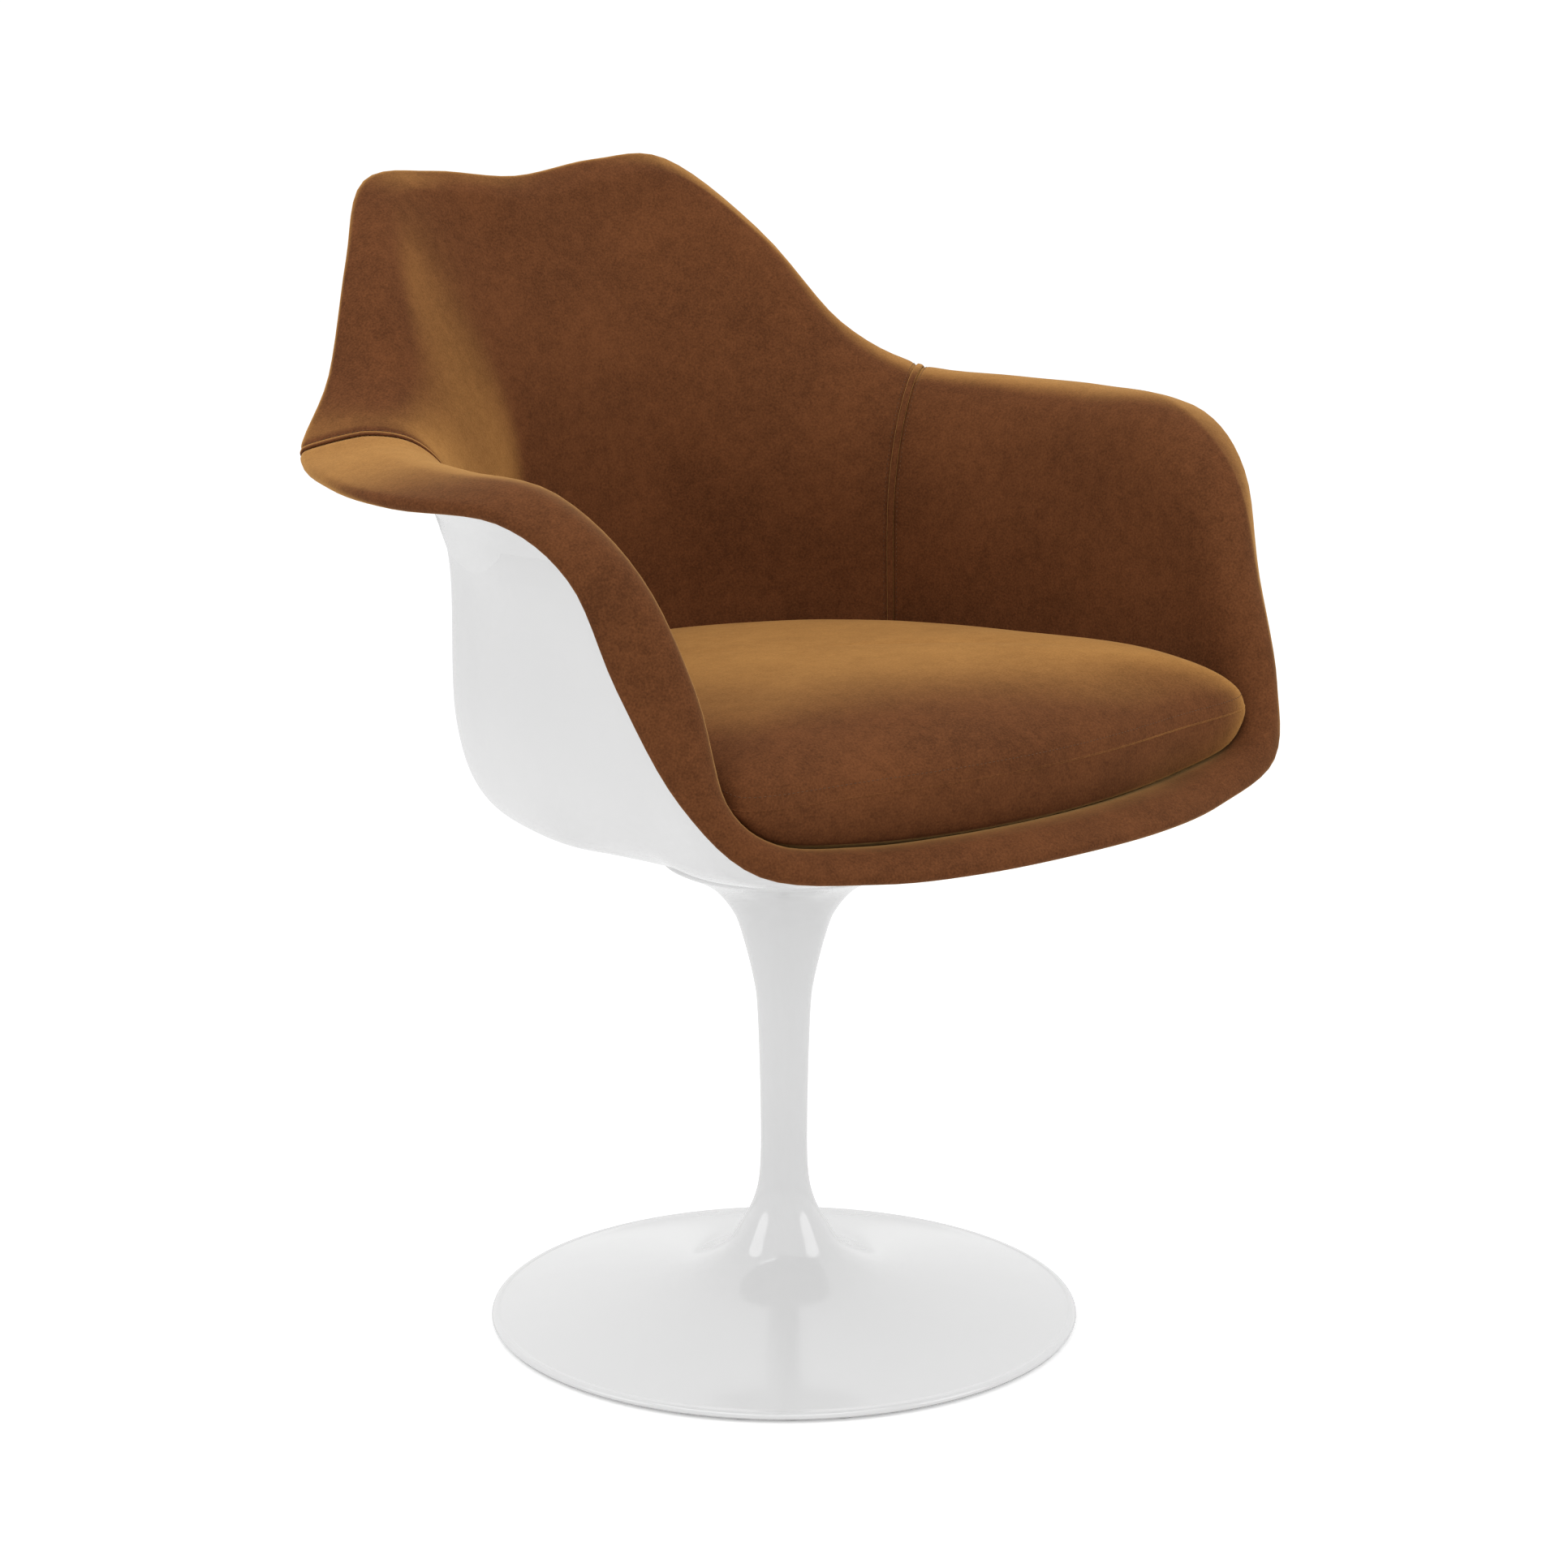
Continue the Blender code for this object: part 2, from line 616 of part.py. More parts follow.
def make_spindle():
    groove = SPINDLE_RADIUS - RING_GROOVE
    profile = [
        (0.0, PLATE_TOP),
        (SEAT_PLATE_RADIUS, PLATE_TOP),
        (SEAT_PLATE_RADIUS, PLATE_BOTTOM),
        (SPINDLE_RADIUS, PLATE_BOTTOM),
        (SPINDLE_RADIUS, RETAINER_BOTTOM),
        (groove, RETAINER_BOTTOM),
        (groove, RING_BOTTOM - GAP),
        (SPINDLE_RADIUS, RING_BOTTOM - GAP),
        (SPINDLE_RADIUS, SPINDLE_BOTTOM),
        (0.0, SPINDLE_BOTTOM),
    ]
    spindle = turned("swivel_spindle", profile)
    keep(spindle, "seat", "bright_steel")
    washer = ring("thrust_washer", BUSH_BORE, BUSH_FLANGE_RADIUS, BUSH_TOP + GAP, PLATE_BOTTOM - GAP)
    keep(washer, "seat", "bright_steel")
    outside = SLEEVE_RADIUS - LOWER_FLANGE_STEP
    retainer = ring("retaining_washer", BUSH_BORE, outside, RETAINER_BOTTOM, LOWER_FLANGE_BOTTOM - GAP)
    keep(retainer, "seat", "bright_steel")
    inside = groove + GAP
    clip = ring("retaining_ring", inside, inside + RING_WIDTH, RING_BOTTOM, RING_BOTTOM + RETAINING_RING)
    mouth_shape = bmesh.new()
    bmesh.ops.create_cube(mouth_shape, size=RING_MOUTH)
    mouth = solid_from("retaining_ring_mouth", mouth_shape)
    mouth.location = (0.0, inside + RING_WIDTH / 2, RING_BOTTOM)
    cut(mouth, clip)
    keep(clip, "seat", "dark_steel")
    return spindle


# Shell and its fastening

def make_shell(spindle):
    columns = columns_of(0, 2 * LAST)[:-1]
    inner = []
    outer = []
    for u in columns:
        rows = (edge_ring(u), *WALL_ROWS, *PAN_ROWS, HOLE)
        inner.append([tub(u, v) for v in rows])
        outer.append([raised(u, v, -SHELL_WALL) for v in rows])
        for k in (-1, -2):
            outer[-1][k] = inner[-1][k] - (0, 0, SHELL_WALL)
    shell = layer("shell", outer, inner, loop=True)
    keep(shell, "seat", "white_moulding")
    collar_profile = [
        (SEAT_PLATE_RADIUS + COLLAR_CLEARANCE, PLATE_TOP),
        (FLANGE_RADIUS + COLLAR_FLARE, PLATE_TOP),
        (FLANGE_RADIUS + COLLAR_FLARE / 4, PLATE_TOP - (PLATE_TOP - JOINT_HEIGHT - TURNING_GAP) / 2),
        (FLANGE_RADIUS, JOINT_HEIGHT + TURNING_GAP),
        (SEAT_PLATE_RADIUS + COLLAR_CLEARANCE, JOINT_HEIGHT + TURNING_GAP),
    ]
    keep(turned("collar_ring", collar_profile, TURN_STEPS), "seat", "white_moulding")
    plate = ring("load_plate", SHELL_HOLE_RADIUS, LOAD_PLATE_RADIUS, PAN_HEIGHT + GAP, LOAD_PLATE_TOP)
    keep(plate, "seat", "dark_steel")
    for i, place in enumerate(around(SEAT_BOLTS, SEAT_PLATE_RADIUS - SEAT_BOLT_EDGE), 1):
        shoulder = SEAT_WASHER_TOP + GAP
        head = shoulder + SEAT_BOLT_HEAD
        tip = PLATE_BOTTOM + GAP
        bolt = headed(f"seat_bolt_{i}", SEAT_BOLT_HEAD_RADIUS, SEAT_BOLT_RADIUS, head, shoulder, tip, place)
        socket_floor = head - SEAT_BOLT_SOCKET_DEPTH
        socket = rod(f"seat_bolt_{i}_socket", SEAT_BOLT_SOCKET, socket_floor, head + GAP, 6, place)
        cut(socket, bolt)
        keep(bolt, "seat", "bright_steel")
        loose = SEAT_BOLT_RADIUS + GAP
        washer = ring(
            f"seat_washer_{i}", loose, SEAT_WASHER_RADIUS, LOAD_PLATE_TOP + GAP, SEAT_WASHER_TOP, BOLT_STEPS, place
        )
        keep(washer, "seat", "bright_steel")
        hole = rod(f"seat_bolt_{i}_hole", loose, PLATE_BOTTOM - GAP, head, BOLT_STEPS, place)
        cut(hole, shell, plate, spindle)


# Lining

# Part of a ring's spacing that stays open between the walls' lining and the seat's
SEAM_SHARE = 0.01


def lining_panel(name, columns, rows_of, loop=False):
    """A pad on the surface, from just off it to its face, drawn down where its ends are sewn."""
    low = []
    high = []
    for u in columns:
        drawn = 0.0
        shift = np.zeros(3)
        if not loop and u in (columns[0], columns[-1]):
            inward = columns[1] if u == columns[0] else columns[-2]
            away = tub(inward, CREST) - tub(u, CREST)
            shift = away / np.linalg.norm(away) * GAP
            drawn = SEAM_DEPTH
        low.append([raised(u, v, GAP) + shift for v in rows_of(u)])
        high.append([raised(u, v, pad_height(v) - drawn * min(v, 1.0)) + shift for v in rows_of(u)])
    panel = layer(name, low, high, loop)
    keep(panel, "seat", "brown_velvet")


def make_lining():
    def wall_rows(u):
        return (RIM, edge_ring(u), *WALL_ROWS[:-1], FILLET - SEAM_SHARE)

    def pan_rows(u):
        return (FILLET + SEAM_SHARE, *PAN_ROWS)

    lining_panel("back_pad", columns_of(SEAM_STATION, 2 * LAST - SEAM_STATION), wall_rows)
    lining_panel("arm_pad", columns_of(-SEAM_STATION, SEAM_STATION), wall_rows)
    lining_panel("seat_pad", columns_of(0, 2 * LAST)[:-1], pan_rows, loop=True)


# Cushion

TOP_STEPS = (1.0, 0.975, 0.91, 0.76, 0.46, 0.0)
CROWN_FULLNESS = 5
BEHIND_CREST = 1.25

# The cushion has a column at each station, and at each half station round its front corners
CORNER_START, CORNER_END = 3, 7
CUSHION_STATIONS = []
for half_station in range(4 * LAST):
    from_front = min(half_station, 4 * LAST - half_station) / 2
    if half_station % 2 == 0 or CORNER_START < from_front < CORNER_END:
        CUSHION_STATIONS.append(half_station / 2)

# The zip runs this many stations to each side of the back centre
ZIP_STATIONS = 2


def ring_at(u, height, near):
    """The ring at which the lining's face comes down to a height, from a ring by the lip's crest inwards."""
    far = float(FILLET)
    for _ in range(30):
        middle = (near + far) / 2
        face = raised(u, middle, pad_height(middle))
        near, far = (middle, far) if face[2] > height else (near, middle)
    return near


def lining_face(u, v, off):
    return raised(u, v, pad_height(v) + off)


def cushion_columns():
    """The cushion's outside: from the middle of its top over the seam and the band to the middle underneath."""
    centre = np.array((0.0, CUSHION_CENTRE, 0.0))
    seam_height = PAN_HEIGHT + CUSHION_SEAM_RISE
    columns = []
    for u in CUSHION_STATIONS:
        wall = lining_face(u, ring_at(u, seam_height, CREST), 0.0) * (1, 1, 0) - centre
        reach = np.linalg.norm(wall)
        wall *= (reach - CUSHION_CLEARANCE) / reach
        top = []
        for s in TOP_STEPS:
            height = seam_height + CUSHION_CROWN * math.sqrt(1 - s**CROWN_FULLNESS)
            top.append(centre + wall * s + (0, 0, height))
        hem_ring = ring_at(u, PAN_HEIGHT + CUSHION_BOTTOM_SEAM_RISE, BEHIND_CREST)
        rows = (hem_ring, (hem_ring + FILLET) / 2, FILLET, *PAN_ROWS)
        bottom = []
        for v in rows:
            lift = max((PAN_EDGE - v) / (PAN_EDGE - hem_ring), 0.0)
            bottom.append(lining_face(u, v, CUSHION_SEAT_GAP + (CUSHION_CLEARANCE - CUSHION_SEAT_GAP) * lift))
        underneath = np.array((0.0, 0.0, bottom[-1][2]))
        middle = (top[0] + bottom[0]) / 2 - wall / reach * CUSHION_DRAW_IN
        columns.append([*top[::-1], middle, *bottom, underneath])
    return columns


def grid_normals(columns):
    """Outward directions at the points of a closed form's columns."""
    normals = []
    count = len(columns)
    for i, column in enumerate(columns):
        before = columns[i - 1]
        after = columns[(i + 1) % count]
        here = []
        for k in range(len(column)):
            if k in (0, len(column) - 1):
                here.append(np.array((0.0, 0.0, 1.0 if k == 0 else -1.0)))
                continue
            normal = np.cross(column[k + 1] - column[k - 1], after[k] - before[k])
            here.append(normal / np.linalg.norm(normal))
        normals.append(here)
    return normals


def make_cushion():
    outside = cushion_columns()
    normals = grid_normals(outside)

    def sunk(depth):
        return [[p - n * depth for p, n in zip(*pair)] for pair in zip(outside, normals)]

    skin = sunk(0.0)
    lining = sunk(COVER_THICKNESS)
    shape = bmesh.new()
    loft(shape, sunk(COVER_THICKNESS + GAP), loop=True)
    keep(solid_from("cushion_core", shape), "cushion", "foam")
    seam = len(TOP_STEPS) - 1
    hem = seam + 2

    def panel(name, start, end):
        """A cover panel over some rows, ending short of its neighbours at the seams."""
        grids = []
        for grid in (lining, skin):
            short = []
            for column in grid:
                rows = [np.array(point) for point in column[start : end + 1]]
                for k, inward in ((0, 1), (-1, -2)):
                    away = rows[inward] - rows[k]
                    if (start, end)[k] in (seam, hem):
                        rows[k] = rows[k] + away / np.linalg.norm(away) * GAP
                short.append(rows)
            grids.append(short)
        keep(layer(name, *grids, loop=True), "cushion", "brown_velvet")

    panel("cushion_top_panel", 0, seam)
    panel("cushion_band", seam, hem)
    panel("cushion_bottom_panel", hem, len(outside[0]) - 1)

    low = []
    high = []
    for i, u in enumerate(CUSHION_STATIONS):
        if abs(u - LAST) > ZIP_STATIONS:
            continue
        top, middle, bottom = (outside[i][k] for k in (seam, seam + 1, hem))
        rows = (top + (middle - top) * 0.6, middle, middle + (bottom - middle) * 0.4)
        normal = normals[i][seam + 1]
        low.append([row + normal * GAP for row in rows])
        high.append([row + normal * (GAP + ZIP_THICKNESS) for row in rows])
    keep(layer("cushion_zip", low, high), "cushion", "zip_tape")


pedestal_casting = make_pedestal()
make_bearing(pedestal_casting)
make_shell(make_spindle())
make_lining()
make_cushion()
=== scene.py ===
# %% [markdown]
# # Pedestal armchair
# A moulded tub seat with velvet lining and a loose cushion turns on a trumpet-shaped foot. The
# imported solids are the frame. This lesson builds the finished looks around them, piece by piece:
# foot and collar on a lathe, shell and lining on one smooth tub surface, then the seams and the
# cushion.

# %% The frame and its box
import json
import math

import bmesh
import bpy
import numpy as np
from mathutils import Matrix, Vector
from mathutils.bvhtree import BVHTree

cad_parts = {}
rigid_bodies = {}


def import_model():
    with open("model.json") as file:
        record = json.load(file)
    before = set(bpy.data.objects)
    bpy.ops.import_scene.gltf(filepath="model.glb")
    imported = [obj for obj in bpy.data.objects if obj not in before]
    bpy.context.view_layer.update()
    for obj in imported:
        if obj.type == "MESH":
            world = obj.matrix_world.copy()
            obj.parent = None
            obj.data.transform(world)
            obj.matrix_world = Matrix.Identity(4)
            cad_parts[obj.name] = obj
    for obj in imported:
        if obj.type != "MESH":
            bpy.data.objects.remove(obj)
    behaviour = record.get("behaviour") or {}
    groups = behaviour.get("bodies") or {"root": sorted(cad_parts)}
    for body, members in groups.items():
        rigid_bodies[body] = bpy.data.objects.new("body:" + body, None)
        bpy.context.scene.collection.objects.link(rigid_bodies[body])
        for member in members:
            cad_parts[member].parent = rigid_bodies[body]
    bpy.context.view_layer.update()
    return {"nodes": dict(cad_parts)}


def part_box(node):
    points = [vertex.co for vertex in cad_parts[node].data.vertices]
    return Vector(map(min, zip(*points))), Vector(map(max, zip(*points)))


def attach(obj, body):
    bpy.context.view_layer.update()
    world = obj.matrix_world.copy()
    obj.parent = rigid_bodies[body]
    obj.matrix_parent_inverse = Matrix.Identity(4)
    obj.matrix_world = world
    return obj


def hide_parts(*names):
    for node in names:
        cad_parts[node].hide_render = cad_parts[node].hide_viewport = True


for leftover in list(bpy.data.objects):
    bpy.data.objects.remove(leftover, do_unlink=True)

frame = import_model()
nodes = frame["nodes"]
MM = 0.001


def as_mesh(name, shape):
    """Turns a shape under construction into a mesh."""
    mesh = bpy.data.meshes.new(name)
    shape.to_mesh(mesh)
    shape.free()
    return mesh


def as_object(name, data):
    """Puts a mesh, a lamp or a camera into the scene."""
    obj = bpy.data.objects.new(name, data)
    bpy.context.scene.collection.objects.link(obj)
    return obj


# %% [markdown]
# The camera stands in front of the chair, to the sitter's right and a little higher than its back,
# and looks slightly down. Its place and lens are fitted to the outlines of the foot, the arms and
# the back.

# %% Camera
CAMERA_TURN = math.radians(41.65)
CAMERA_PITCH = math.radians(13.52)
CAMERA_DISTANCE = 2.798
CAMERA_HEIGHT = 1.068
CAMERA_LENS = 93.63
SENSOR_WIDTH = 36.0

camera_data = bpy.data.cameras.new("camera")
camera_data.sensor_width = SENSOR_WIDTH
camera_data.lens = CAMERA_LENS
camera = as_object("camera", camera_data)
camera.location = (
    -CAMERA_DISTANCE * math.sin(CAMERA_TURN),
    -CAMERA_DISTANCE * math.cos(CAMERA_TURN),
    CAMERA_HEIGHT,
)
camera.rotation_euler = (math.pi / 2 - CAMERA_PITCH, 0.0, -CAMERA_TURN)
bpy.context.scene.camera = camera
print("camera at", tuple(round(x, 3) for x in camera.location))

# %% [markdown]
# A white studio: a pale floor that keeps the shadow under the foot, a white sky that lights from
# all round, a large soft lamp overhead, and a smaller one at each side of the camera.

# %% Studio
SKY_STRENGTH = 0.77
FLOOR_GLOW = 0.36
FLOOR_SIZE = 40.0
FLOOR_COLOUR = (0.92, 0.92, 0.92, 1.0)
FLOOR_ROUGHNESS = 0.9
WHITE = (1.0, 1.0, 1.0, 1.0)


def new_material(name):
    """A new node material, its tree and its shader."""
    material = bpy.data.materials.new(name)
    material.use_nodes = True
    return material, material.node_tree, material.node_tree.nodes["Principled BSDF"]


def add_lamp(name, place, target, size, power):
    """A round soft lamp that points at a target."""
    lamp = bpy.data.lights.new(name, "AREA")
    lamp.shape = "DISK"
    lamp.size = size
    lamp.energy = power
    holder = as_object(name, lamp)
    holder.location = place
    holder.rotation_euler = (Vector(target) - Vector(place)).to_track_quat("-Z", "Y").to_euler()


def white_sky():
    """A sky that shows as white, and lights the object a little less brightly."""
    world = bpy.data.worlds.new("studio")
    bpy.context.scene.world = world
    world.use_nodes = True
    tree = world.node_tree
    path = tree.nodes.new("ShaderNodeLightPath")
    seen = tree.nodes.new("ShaderNodeMath")
    seen.operation = "MAXIMUM"
    tree.links.new(path.outputs["Is Camera Ray"], seen.inputs[0])
    tree.links.new(path.outputs["Is Glossy Ray"], seen.inputs[1])
    strength = tree.nodes.new("ShaderNodeMapRange")
    strength.inputs["To Min"].default_value = SKY_STRENGTH
    strength.inputs["To Max"].default_value = 1.0
    tree.links.new(seen.outputs[0], strength.inputs["Value"])
    sky = tree.nodes["Background"]
    sky.inputs["Color"].default_value = WHITE
    tree.links.new(strength.outputs[0], sky.inputs["Strength"])


def white_floor():
    """A floor that comes out white in open light, and still takes the shadow."""
    shape = bmesh.new()
    bmesh.ops.create_grid(shape, x_segments=4, y_segments=4, size=FLOOR_SIZE)
    floor = as_object("studio_floor", as_mesh("studio_floor", shape))
    material, tree, shader = new_material("studio_floor")
    shader.inputs["Base Color"].default_value = FLOOR_COLOUR
    shader.inputs["Roughness"].default_value = FLOOR_ROUGHNESS
    shader.inputs["Specular IOR Level"].default_value = 0.0
    shader.inputs["Emission Color"].default_value = WHITE
    path = tree.nodes.new("ShaderNodeLightPath")
    glow = tree.nodes.new("ShaderNodeMath")
    glow.operation = "MULTIPLY"
    glow.inputs[1].default_value = FLOOR_GLOW
    tree.links.new(path.outputs["Is Camera Ray"], glow.inputs[0])
    tree.links.new(glow.outputs[0], shader.inputs["Emission Strength"])
    floor.data.materials.append(material)


white_sky()
white_floor()
add_lamp("overhead_lamp", place=(-0.3, -0.2, 2.7), target=(0.0, 0.0, 0.4), size=2.6, power=17.0)
add_lamp("left_lamp", place=(-2.0, 0.87, 1.49), target=(0.0, 0.0, 0.1), size=1.3, power=4.0)
add_lamp("right_lamp", place=(1.10, -1.88, 1.49), target=(0.0, 0.0, 0.1), size=1.3, power=4.0)
bpy.context.scene.view_settings.view_transform = "Standard"
print("studio ready")

# %% [markdown]
# Velvet is brown where it is looked at squarely and golden where it turns away, because light
# catches the ends of its pile. That golden sheen is painted into the base colour: the shader goes
# from brown to a painted gold as the surface turns from view, sooner or later as a painted sheen
# mask on each piece says. Noise mottles it at the width of a hand, a finger and a fibre.

# %% Velvet
VELVET_DARK = (0.096, 0.0325, 0.0112, 1.0)
VELVET_LIGHT = (0.182, 0.0640, 0.0225, 1.0)
# Painted sheen: the golden colours that the velvet shows where it turns from view
VELVET_PAINTED_SHEEN_DARK = (0.33, 0.148, 0.038, 1.0)
VELVET_PAINTED_SHEEN_LIGHT = (0.47, 0.225, 0.062, 1.0)
VELVET_SHEEN = (1.0, 0.62, 0.25, 1.0)
MOTTLE_LOW = 0.38
MOTTLE_HIGH = 0.62
# Where the painted sheen starts and where it is full as the surface turns from view
PAINTED_SHEEN_FROM = 0.38
PAINTED_SHEEN_TO = 0.84
PAINTED_SHEEN_SHIFT = 0.3

# Sockets that carry colours on a mix node
COLOUR_A, COLOUR_B, COLOUR_RESULT = 6, 7, 2


def add_noise(tree, scale, detail, stretch=(1.0, 1.0, 1.0)):
    """Noise in the object's own metres. A stretch under 1 draws it out along that axis."""
    place = tree.nodes.new("ShaderNodeTexCoord")
    mapping = tree.nodes.new("ShaderNodeMapping")
    mapping.inputs["Scale"].default_value = stretch
    noise = tree.nodes.new("ShaderNodeTexNoise")
    noise.inputs["Scale"].default_value = scale
    noise.inputs["Detail"].default_value = detail
    tree.links.new(place.outputs["Object"], mapping.inputs["Vector"])
    tree.links.new(mapping.outputs["Vector"], noise.inputs["Vector"])
    return noise.outputs["Fac"]


def add_ramp(tree, value, low, dark, high, light):
    """Colours that go from dark to light as a value goes from low to high."""
    ramp = tree.nodes.new("ShaderNodeValToRGB")
    first, last = ramp.color_ramp.elements
    first.position = low
    first.color = dark
    last.position = high
    last.color = light
    tree.links.new(value, ramp.inputs["Fac"])
    return ramp.outputs["Color"]


def add_range(tree, value, low, high):
    """A value from 0 to 1 spread over another range."""
    spread = tree.nodes.new("ShaderNodeMapRange")
    spread.inputs["To Min"].default_value = low
    spread.inputs["To Max"].default_value = high
    tree.links.new(value, spread.inputs["Value"])
    return spread.outputs[0]


def add_sum(tree, first, second, share):
    """The first value, with a share of the second mixed in."""
    mix = tree.nodes.new("ShaderNodeMix")
    mix.inputs["Factor"].default_value = share
    tree.links.new(first, mix.inputs["A"])
    tree.links.new(second, mix.inputs["B"])
    return mix.outputs["Result"]


def paint(tree, shader, value, low, dark, high, light):
    """Colours a surface from dark to light as a value goes from low to high."""
    colour = add_ramp(tree, value, low, dark, high, light)
    tree.links.new(colour, shader.inputs["Base Color"])


def roughen(tree, shader, value, low, high):
    """Spreads the roughness of a surface between two limits."""
    tree.links.new(add_range(tree, value, low, high), shader.inputs["Roughness"])


def add_bump(tree, shader, height, strength, depth):
    """Gives a surface fine relief that follows a value."""
    bump = tree.nodes.new("ShaderNodeBump")
    bump.inputs["Strength"].default_value = strength
    bump.inputs["Distance"].default_value = depth
    tree.links.new(height, bump.inputs["Height"])
    tree.links.new(bump.outputs["Normal"], shader.inputs["Normal"])


def velvet(name, dark, light, painted_sheen_dark, painted_sheen_light):
    """Cut pile: brown when looked into, with a painted golden sheen where it turns from view."""
    material, tree, shader = new_material(name)
    broad = add_noise(tree, scale=16.0, detail=5.0)
    brushed = add_noise(tree, scale=110.0, detail=4.0)
    pile = add_noise(tree, scale=700.0, detail=3.0)
    tone = add_sum(tree, add_sum(tree, broad, brushed, share=0.45), pile, share=0.5)
    into = add_ramp(tree, tone, MOTTLE_LOW, dark, MOTTLE_HIGH, light)
    # Painted sheen: golden colours that the shader mixes in as the surface turns from view
    painted_sheen = add_ramp(tree, tone, MOTTLE_LOW, painted_sheen_dark, MOTTLE_HIGH, painted_sheen_light)
    facing = tree.nodes.new("ShaderNodeLayerWeight")
    painted_sheen_share = tree.nodes.new("ShaderNodeMapRange")
    painted_sheen_share.interpolation_type = "SMOOTHSTEP"
    painted_sheen_share.inputs["From Min"].default_value = PAINTED_SHEEN_FROM
    painted_sheen_share.inputs["From Max"].default_value = PAINTED_SHEEN_TO
    # Each piece's painted sheen mask moves where the painted sheen starts
    painted_sheen_mask = tree.nodes.new("ShaderNodeAttribute")
    painted_sheen_mask.attribute_name = "painted_sheen_mask"
    lean = tree.nodes.new("ShaderNodeMath")
    lean.operation = "MULTIPLY_ADD"
    lean.inputs[1].default_value = -PAINTED_SHEEN_SHIFT
    tree.links.new(painted_sheen_mask.outputs["Fac"], lean.inputs[0])
    tree.links.new(facing.outputs["Facing"], lean.inputs[2])
    tree.links.new(lean.outputs[0], painted_sheen_share.inputs["Value"])
    colour = tree.nodes.new("ShaderNodeMix")
    colour.data_type = "RGBA"
    tree.links.new(painted_sheen_share.outputs[0], colour.inputs["Factor"])
    tree.links.new(into, colour.inputs[COLOUR_A])
    tree.links.new(painted_sheen, colour.inputs[COLOUR_B])
    tree.links.new(colour.outputs[COLOUR_RESULT], shader.inputs["Base Color"])
    roughen(tree, shader, broad, low=0.78, high=0.95)
    shader.inputs["Specular IOR Level"].default_value = 0.08
    shader.inputs["Sheen Weight"].default_value = 0.5
    shader.inputs["Sheen Roughness"].default_value = 0.30
    shader.inputs["Sheen Tint"].default_value = VELVET_SHEEN
    add_bump(tree, shader, add_sum(tree, pile, brushed, share=0.3), strength=0.3, depth=0.0006)
    return material


def set_painted_sheen(obj, painted_sheen_rule):
    """Sets a piece's painted sheen: 0 leaves it as it is, above 0 less gold shows, and below 0 more."""
    places = np.empty(len(obj.data.vertices) * 3)
    obj.data.vertices.foreach_get("co", places)
    painted_sheen_mask = obj.data.attributes.new("painted_sheen_mask", "FLOAT", "POINT")
    painted_sheen_mask.data.foreach_set("value", painted_sheen_rule(places.reshape(-1, 3)))


VELVET = velvet("brown_velvet", VELVET_DARK, VELVET_LIGHT, VELVET_PAINTED_SHEEN_DARK, VELVET_PAINTED_SHEEN_LIGHT)
print("velvet made")

# %% [markdown]
# The foot is a casting with a glossy coating, and the shell is a moulding. Both are white, with the
# faint orange peel of sprayed paint. The small parts inside are turned steel, nylon and woven tape.

# %% Hard finishes and tape
SHADE_OF_WHITE = 0.985
COAT_ROUGHNESS = 0.10


def coated(name, colour, roughness, gloss):
    """A sprayed white finish: faint orange peel, and gloss that varies a little over the surface."""
    material, tree, shader = new_material(name)
    broad = add_noise(tree, scale=5.0, detail=2.0)
    peel = add_noise(tree, scale=420.0, detail=1.0)
    shade = tuple(part * SHADE_OF_WHITE for part in colour[:3]) + (1.0,)
    paint(tree, shader, broad, 0.3, shade, 0.7, colour)
    roughen(tree, shader, broad, roughness - 0.03, roughness + 0.04)
    shader.inputs["Coat Weight"].default_value = 1.0
    shader.inputs["Coat IOR"].default_value = gloss
    shader.inputs["Coat Roughness"].default_value = COAT_ROUGHNESS
    add_bump(tree, shader, peel, strength=0.03, depth=0.0001)
    return material


def turned_metal(name, dark, light, roughness):
    """Steel with fine lines left by the lathe and a few duller patches."""
    material, tree, shader = new_material(name)
    patches = add_noise(tree, scale=70.0, detail=3.0)
    lines = add_noise(tree, scale=500.0, detail=2.0, stretch=(0.15, 0.15, 3.0))
    paint(tree, shader, patches, 0.3, dark, 0.7, light)
    roughen(tree, shader, lines, roughness - 0.08, roughness + 0.12)
    shader.inputs["Metallic"].default_value = 1.0
    add_bump(tree, shader, lines, strength=0.15, depth=0.0001)
    return material


def moulded_nylon(name, dark, light, roughness):
    """Plain nylon, a little cloudy, with the fine grain of its mould."""
    material, tree, shader = new_material(name)
    cloud = add_noise(tree, scale=120.0, detail=2.0)
    grain = add_noise(tree, scale=1800.0, detail=1.0)
    paint(tree, shader, cloud, 0.3, dark, 0.7, light)
    roughen(tree, shader, grain, roughness - 0.06, roughness + 0.06)
    add_bump(tree, shader, grain, strength=0.1, depth=0.0001)
    return material


def woven(name, dark, light):
    """Tape or thread: close ribs of yarn in two browns."""
    material, tree, shader = new_material(name)
    place = tree.nodes.new("ShaderNodeTexCoord")
    ribs = tree.nodes.new("ShaderNodeTexWave")
    ribs.inputs["Scale"].default_value = 420.0
    ribs.inputs["Distortion"].default_value = 0.8
    tree.links.new(place.outputs["Object"], ribs.inputs["Vector"])
    fuzz = add_noise(tree, scale=700.0, detail=2.0)
    tone = add_sum(tree, ribs.outputs["Fac"], fuzz, share=0.5)
    paint(tree, shader, tone, 0.2, dark, 0.8, light)
    roughen(tree, shader, fuzz, low=0.7, high=0.9)
    add_bump(tree, shader, ribs.outputs["Fac"], strength=0.3, depth=0.0003)
    return material


